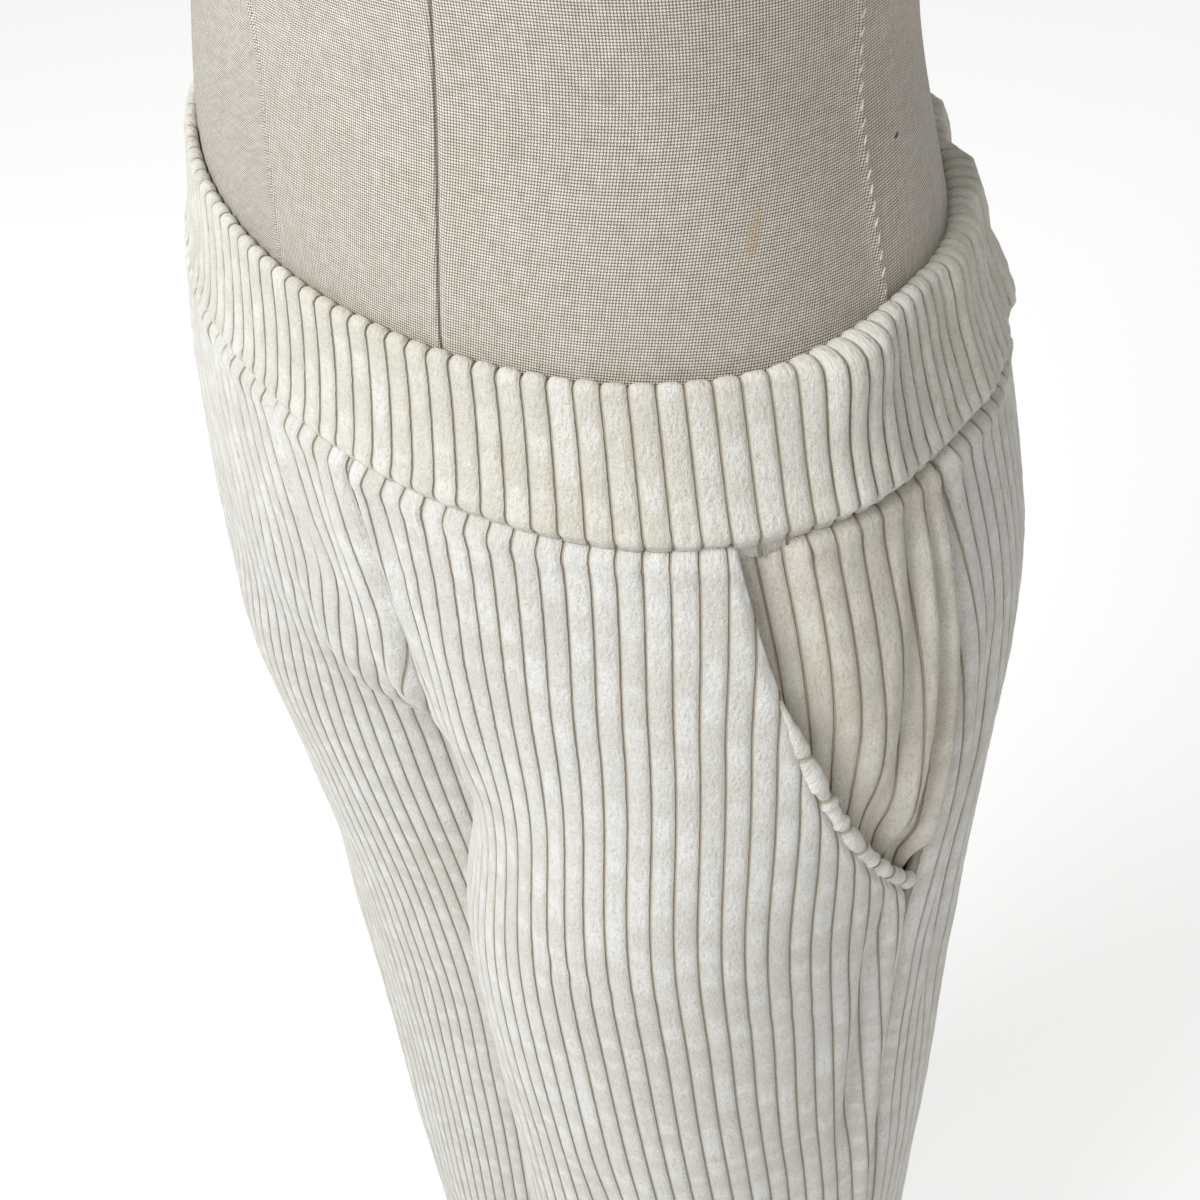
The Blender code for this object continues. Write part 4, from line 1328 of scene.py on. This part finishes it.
def make_torso():
    """The linen cover, closed at the hips and under the neck cap."""
    columns = form_columns()
    low, high = FORM[0].height, FORM[-1].height
    heights = np.concatenate([low + np.array(UNDERSIDE_ROWS),
                              np.linspace(low + 0.014, high, round((high - low) / FORM_ROW))])
    knots = np.arange(len(FORM_SEAMS) + 1)
    nearest = np.abs(columns - np.rint(columns)) * 0.1
    sewn = [k for k, seam in enumerate(FORM_SEAMS) if seam.name in HAND_SEWN]
    stitched = np.isin(np.rint(columns).astype(int) % len(FORM_SEAMS), sewn)
    points, weave = [], []
    for height in heights:
        seams = [seam_angle(seam, height) for seam in FORM_SEAMS]
        angle = np.radians(np.interp(columns, knots, seams + [seams[0] + 360.0]))
        ring = oval(FORM, angle, np.full_like(angle, height))
        pressed = 0.0004 * bell(nearest - 0.0022, 0.0015) - 0.0005 * bell(nearest, 0.0006)
        raised = 0.0010 * bell(nearest, 0.0012) * (1.0 + 0.3 * np.sin(height * 2100.0))
        ridge = np.where(stitched, raised, pressed)
        outline = np.stack([np.sin(angle), -np.cos(angle), 0 * angle], axis=-1)
        points.append(ring + outline * ridge[:, None])
        around = np.interp(angle, *section_arcs(FORM, height, -10.0, 400.0))
        weave.append(np.stack([around, np.full_like(around, height)], axis=-1))
    mesh = grid_mesh("linen_torso", np.array(points), np.array(weave), WEAVE)
    close_ends(mesh)
    seam_attribute(mesh)
    return place("linen_torso", mesh, linen, "linen", "form_torso")


def seam_attribute(mesh):
    """Distance of each point from its nearest seam, in millimetres, with a sign."""
    flat = np.empty(len(mesh.vertices) * 3, np.float32)
    mesh.vertices.foreach_get("co", flat)
    flat = flat.reshape(-1, 3)
    height = flat[:, 2] - waist
    depth = np.where(flat[:, 1] < 0, lookup(FORM, "front", height), lookup(FORM, "back", height))
    angle = np.degrees(np.arctan2(flat[:, 0] / lookup(FORM, "half_width", height), -flat[:, 1] / depth))
    radius = np.hypot(flat[:, 0], flat[:, 1])
    best = np.full(len(flat), 1000.0)
    for seam in FORM_SEAMS:
        if seam.name in STITCHED:
            continue
        away = (angle - seam_angle(seam, height) + 180.0) % 360.0 - 180.0
        distance = np.radians(away) * radius * 1000.0
        best = np.where(np.abs(distance) < np.abs(best), distance, best)
    layer = mesh.attributes.new(SEAM, "FLOAT", "POINT")
    layer.data.foreach_set("value", best.astype(np.float32))


make_torso()

# %% [markdown]
# ## Hand stitches
#
# The side seams of the cover are closed by hand: short slanting stitches of pale thread over a
# raised edge. One small capsule is made for each, all in one mesh.

# %% Stitches
Stitch = namedtuple("Stitch", "centre along out length width")
Sewing = namedtuple("Sewing", "step slant sway lift length width")
FINE = Sewing(0.0026, 0.15, 0.0, 0.0001, 0.0013, 0.0004)
HEAVY = Sewing(0.0043, 0.55, 0.25, 0.0010, 0.0036, 0.00065)
SEWN_FROM, SEWN_TO = -0.058, 0.36          # heights


def stitch_mesh(name, stitches):
    """Short capsules of thread, lying along their own directions."""
    bm = bmesh.new()
    for stitch in stitches:
        along = Vector(stitch.along).normalized()
        out = Vector(stitch.out).normalized()
        across = out.cross(along).normalized()
        turn = Matrix((across, along, across.cross(along))).transposed().to_4x4()
        size = Matrix.Diagonal((stitch.width, stitch.length, stitch.width, 1.0))
        spot = Matrix.Translation(Vector(stitch.centre) + Vector((0.0, 0.0, waist)))
        bmesh.ops.create_uvsphere(bm, u_segments=6, v_segments=5, radius=0.5, matrix=spot @ turn @ size)
    return mesh_from(bm, name)


def form_stitches():
    """Stitches over both side seams, and a fine line of them down the front seam."""
    made = []
    for seam in FORM_SEAMS:
        if seam.name not in STITCHED:
            continue
        sewing = HEAVY if seam.name in HAND_SEWN else FINE
        for count, height in enumerate(np.arange(SEWN_FROM, SEWN_TO, sewing.step)):
            height = height + 0.0006 * math.sin(count * 12.9898)
            angle = math.radians(float(seam_angle(seam, height)))
            centre = oval(FORM, np.array([angle]), np.array([height]))[0]
            above = oval(FORM, np.array([angle]), np.array([height + 0.003]))[0]
            out = np.array([math.sin(angle), -math.cos(angle), 0.0])
            sideways = np.array([math.cos(angle), math.sin(angle), 0.0])
            slant = sewing.slant + sewing.sway * math.sin(count * 4.1)
            along = (above - centre) / np.linalg.norm(above - centre) + sideways * slant
            made.append(Stitch(centre + out * sewing.lift, along, out, sewing.length, sewing.width))
    return made


place("form_seam_stitches", stitch_mesh("form_seam_stitches", form_stitches()), thread, "linen")

# %% [markdown]
# ## Neck cap and stand
#
# These are turned on a lathe, or look as if they were, so each is a profile spun round the axis.


# %% Turned pieces
def turned(name, rings, material, slot, node, squash=1.0, segments=96, edge=0.0008):
    """A profile of rings spun about the stand's axis, with its edges softened."""
    bm = bmesh.new()
    points = [bm.verts.new((ring.radius, 0.0, ring.height)) for ring in rings]
    edges = [bm.edges.new(pair) for pair in zip(points, points[1:])]
    bmesh.ops.spin(bm, geom=points + edges, cent=(0, 0, 0), axis=(0, 0, 1), angle=math.tau,
                   steps=segments, use_merge=True)
    bmesh.ops.remove_doubles(bm, verts=bm.verts, dist=HARD_MERGE)
    bmesh.ops.recalc_face_normals(bm, faces=bm.faces)
    sharp = [e for e in bm.edges if e.is_manifold and e.calc_face_angle(0.0) > math.radians(28)]
    bmesh.ops.bevel(bm, geom=sharp, offset=edge, segments=3, profile=0.5, affect="EDGES", material=-1)
    bmesh.ops.scale(bm, vec=(1.0, squash, 1.0), verts=bm.verts)
    return place(name, mesh_from(bm, name), material, slot, node)


def make_hard_parts():
    """The neck cap, the flange and pole, and the foot."""
    neck = FORM[-1]
    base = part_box("form_neck_cap")[0].z
    cap = [(0.0, 0.0), (0.058, 0.0), (0.058, 0.008), (0.052, 0.0125), (0.040, 0.016), (0.026, 0.018),
           (0.014, 0.019), (0.0095, 0.022), (0.008, 0.026), (0.0105, 0.031), (0.0148, 0.035),
           (0.0155, 0.039), (0.0135, 0.044), (0.009, 0.0485), (0.0045, 0.0505), (0.0, 0.051)]
    turned("neck_cap", [Ring(r, base + h) for r, h in cap], wood, "cap_wood", "form_neck_cap",
           squash=neck.front / neck.half_width)
    for node, edge in (("form_flange", 0.001), ("form_pole", 0.0005)):
        low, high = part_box(node)
        radius = high.x
        rings = [Ring(0.0, low.z), Ring(radius, low.z), Ring(radius, high.z), Ring(0.0, high.z)]
        turned(node.replace("form", "stand"), rings, metal, "stand_metal", node, segments=64, edge=edge)
    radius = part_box("form_base")[1].x
    foot = [(0.0, 0.0), (radius, 0.0), (radius, 0.008), (radius - 0.004, 0.011), (radius * 0.8, 0.0132),
            (radius * 0.5, 0.0155), (0.060, 0.0172), (0.036, 0.018), (0.028, 0.0205), (0.024, 0.026),
            (0.0215, 0.040), (0.020, 0.052), (0.0, 0.052)]
    turned("stand_base", [Ring(r, h) for r, h in foot], metal, "stand_metal", "form_base", segments=128)


make_hard_parts()

# %% [markdown]
# ## The cut of each piece
#
# The size and the area of the flat cloth that each front and back panel was cut from are printed.


# %% Sheets
TURNED_UNDER = 0.012                       # cloth in a panel's hem


def declare_sheets():
    """Prints the flat size and area of each front and back panel's cut; the pockets' sizes are worked out
    but not printed.
    """
    for (side, face), (piece, rows, ends) in panels.items():
        levels = np.array([row.height(np.array([0.5]))[0] for row in rows])
        spans = np.array([end - start for start, end in ends])
        width = max(end for start, end in ends) - min(start for start, end in ends)
        length = levels[0] - levels[-1] + TURNED_UNDER
        area = float(np.trapz(spans[::-1], levels[::-1]))
        extra = [rolls[side]] if face == "front" else []
        print(piece.name, "flat", round(width, 3), "x", round(length, 3), "area", round(area, 4))
    for side, piece in pockets.items():
        width = max(row.inset for row in POCKET_BAG)
        length = TOP_LEVEL - POCKET_BAG[0].height
        heights = np.linspace(CROTCH_HEIGHT, TOP_LEVEL, 40)
        area = float(np.trapz(lookup(POCKET_BAG, "inset", heights), heights))


declare_sheets()

# %% [markdown]
# ## Studio
#
# A plain pale floor and soft light: a bright even sky, one large soft panel in front of the form and
# a weaker one above. The form's left side faces away from the large panel, so it is a
# little darker and warmer.

# %% Floor and light
def floor_finish():
    made = Finish("pale_floor")
    cloud = made.noise(object_place(made), 1.5, 2.0)
    colour = made.mix(cloud, (0.93, 0.93, 0.93), (0.96, 0.96, 0.96))
    return made.set(Base_Color=colour, Roughness=0.9, Emission_Color=(1.0, 1.0, 1.0),
                    Emission_Strength=0.50)


def make_floor():
    bm = bmesh.new()
    bmesh.ops.create_grid(bm, x_segments=1, y_segments=1, size=30.0)
    mesh = mesh_from(bm, "floor")
    mesh.materials.append(floor_finish())
    floor = bpy.data.objects.new("floor", mesh)
    bpy.context.collection.objects.link(floor)


AIM_BELOW = 0.1                            # the lamps look a little below the waist line


def make_light(name, azimuth, elevation, distance, size, power, colour):
    """A square area light that looks at the waist."""
    data = bpy.data.lights.new(name, "AREA")
    data.size = size
    data.energy = power
    data.color = colour
    lamp = bpy.data.objects.new(name, data)
    turn = math.radians(azimuth)
    rise = math.radians(elevation)
    level = distance * math.cos(rise)
    lamp.location = (level * math.sin(turn), -level * math.cos(turn), waist + distance * math.sin(rise))
    aim = Vector((0.0, 0.0, waist - AIM_BELOW)) - Vector(lamp.location)
    lamp.rotation_euler = aim.to_track_quat("-Z", "Y").to_euler()
    bpy.context.collection.objects.link(lamp)


def make_sky():
    world = bpy.data.worlds.new("studio")
    bpy.context.scene.world = world
    world.use_nodes = True
    sky = world.node_tree.nodes["Background"]
    sky.inputs["Color"].default_value = (1.0, 0.99, 0.975, 1.0)
    sky.inputs["Strength"].default_value = 0.35


make_floor()
make_sky()
make_light("front_panel", azimuth=2.0, elevation=42.0, distance=1.8, size=1.1, power=36.0,
           colour=(0.97, 0.99, 1.0))
make_light("top_panel", azimuth=60.0, elevation=75.0, distance=2.6, size=1.8, power=4.0,
           colour=(1.0, 0.98, 0.95))
bpy.context.scene.view_settings.view_transform = "Standard"
print("studio ready")
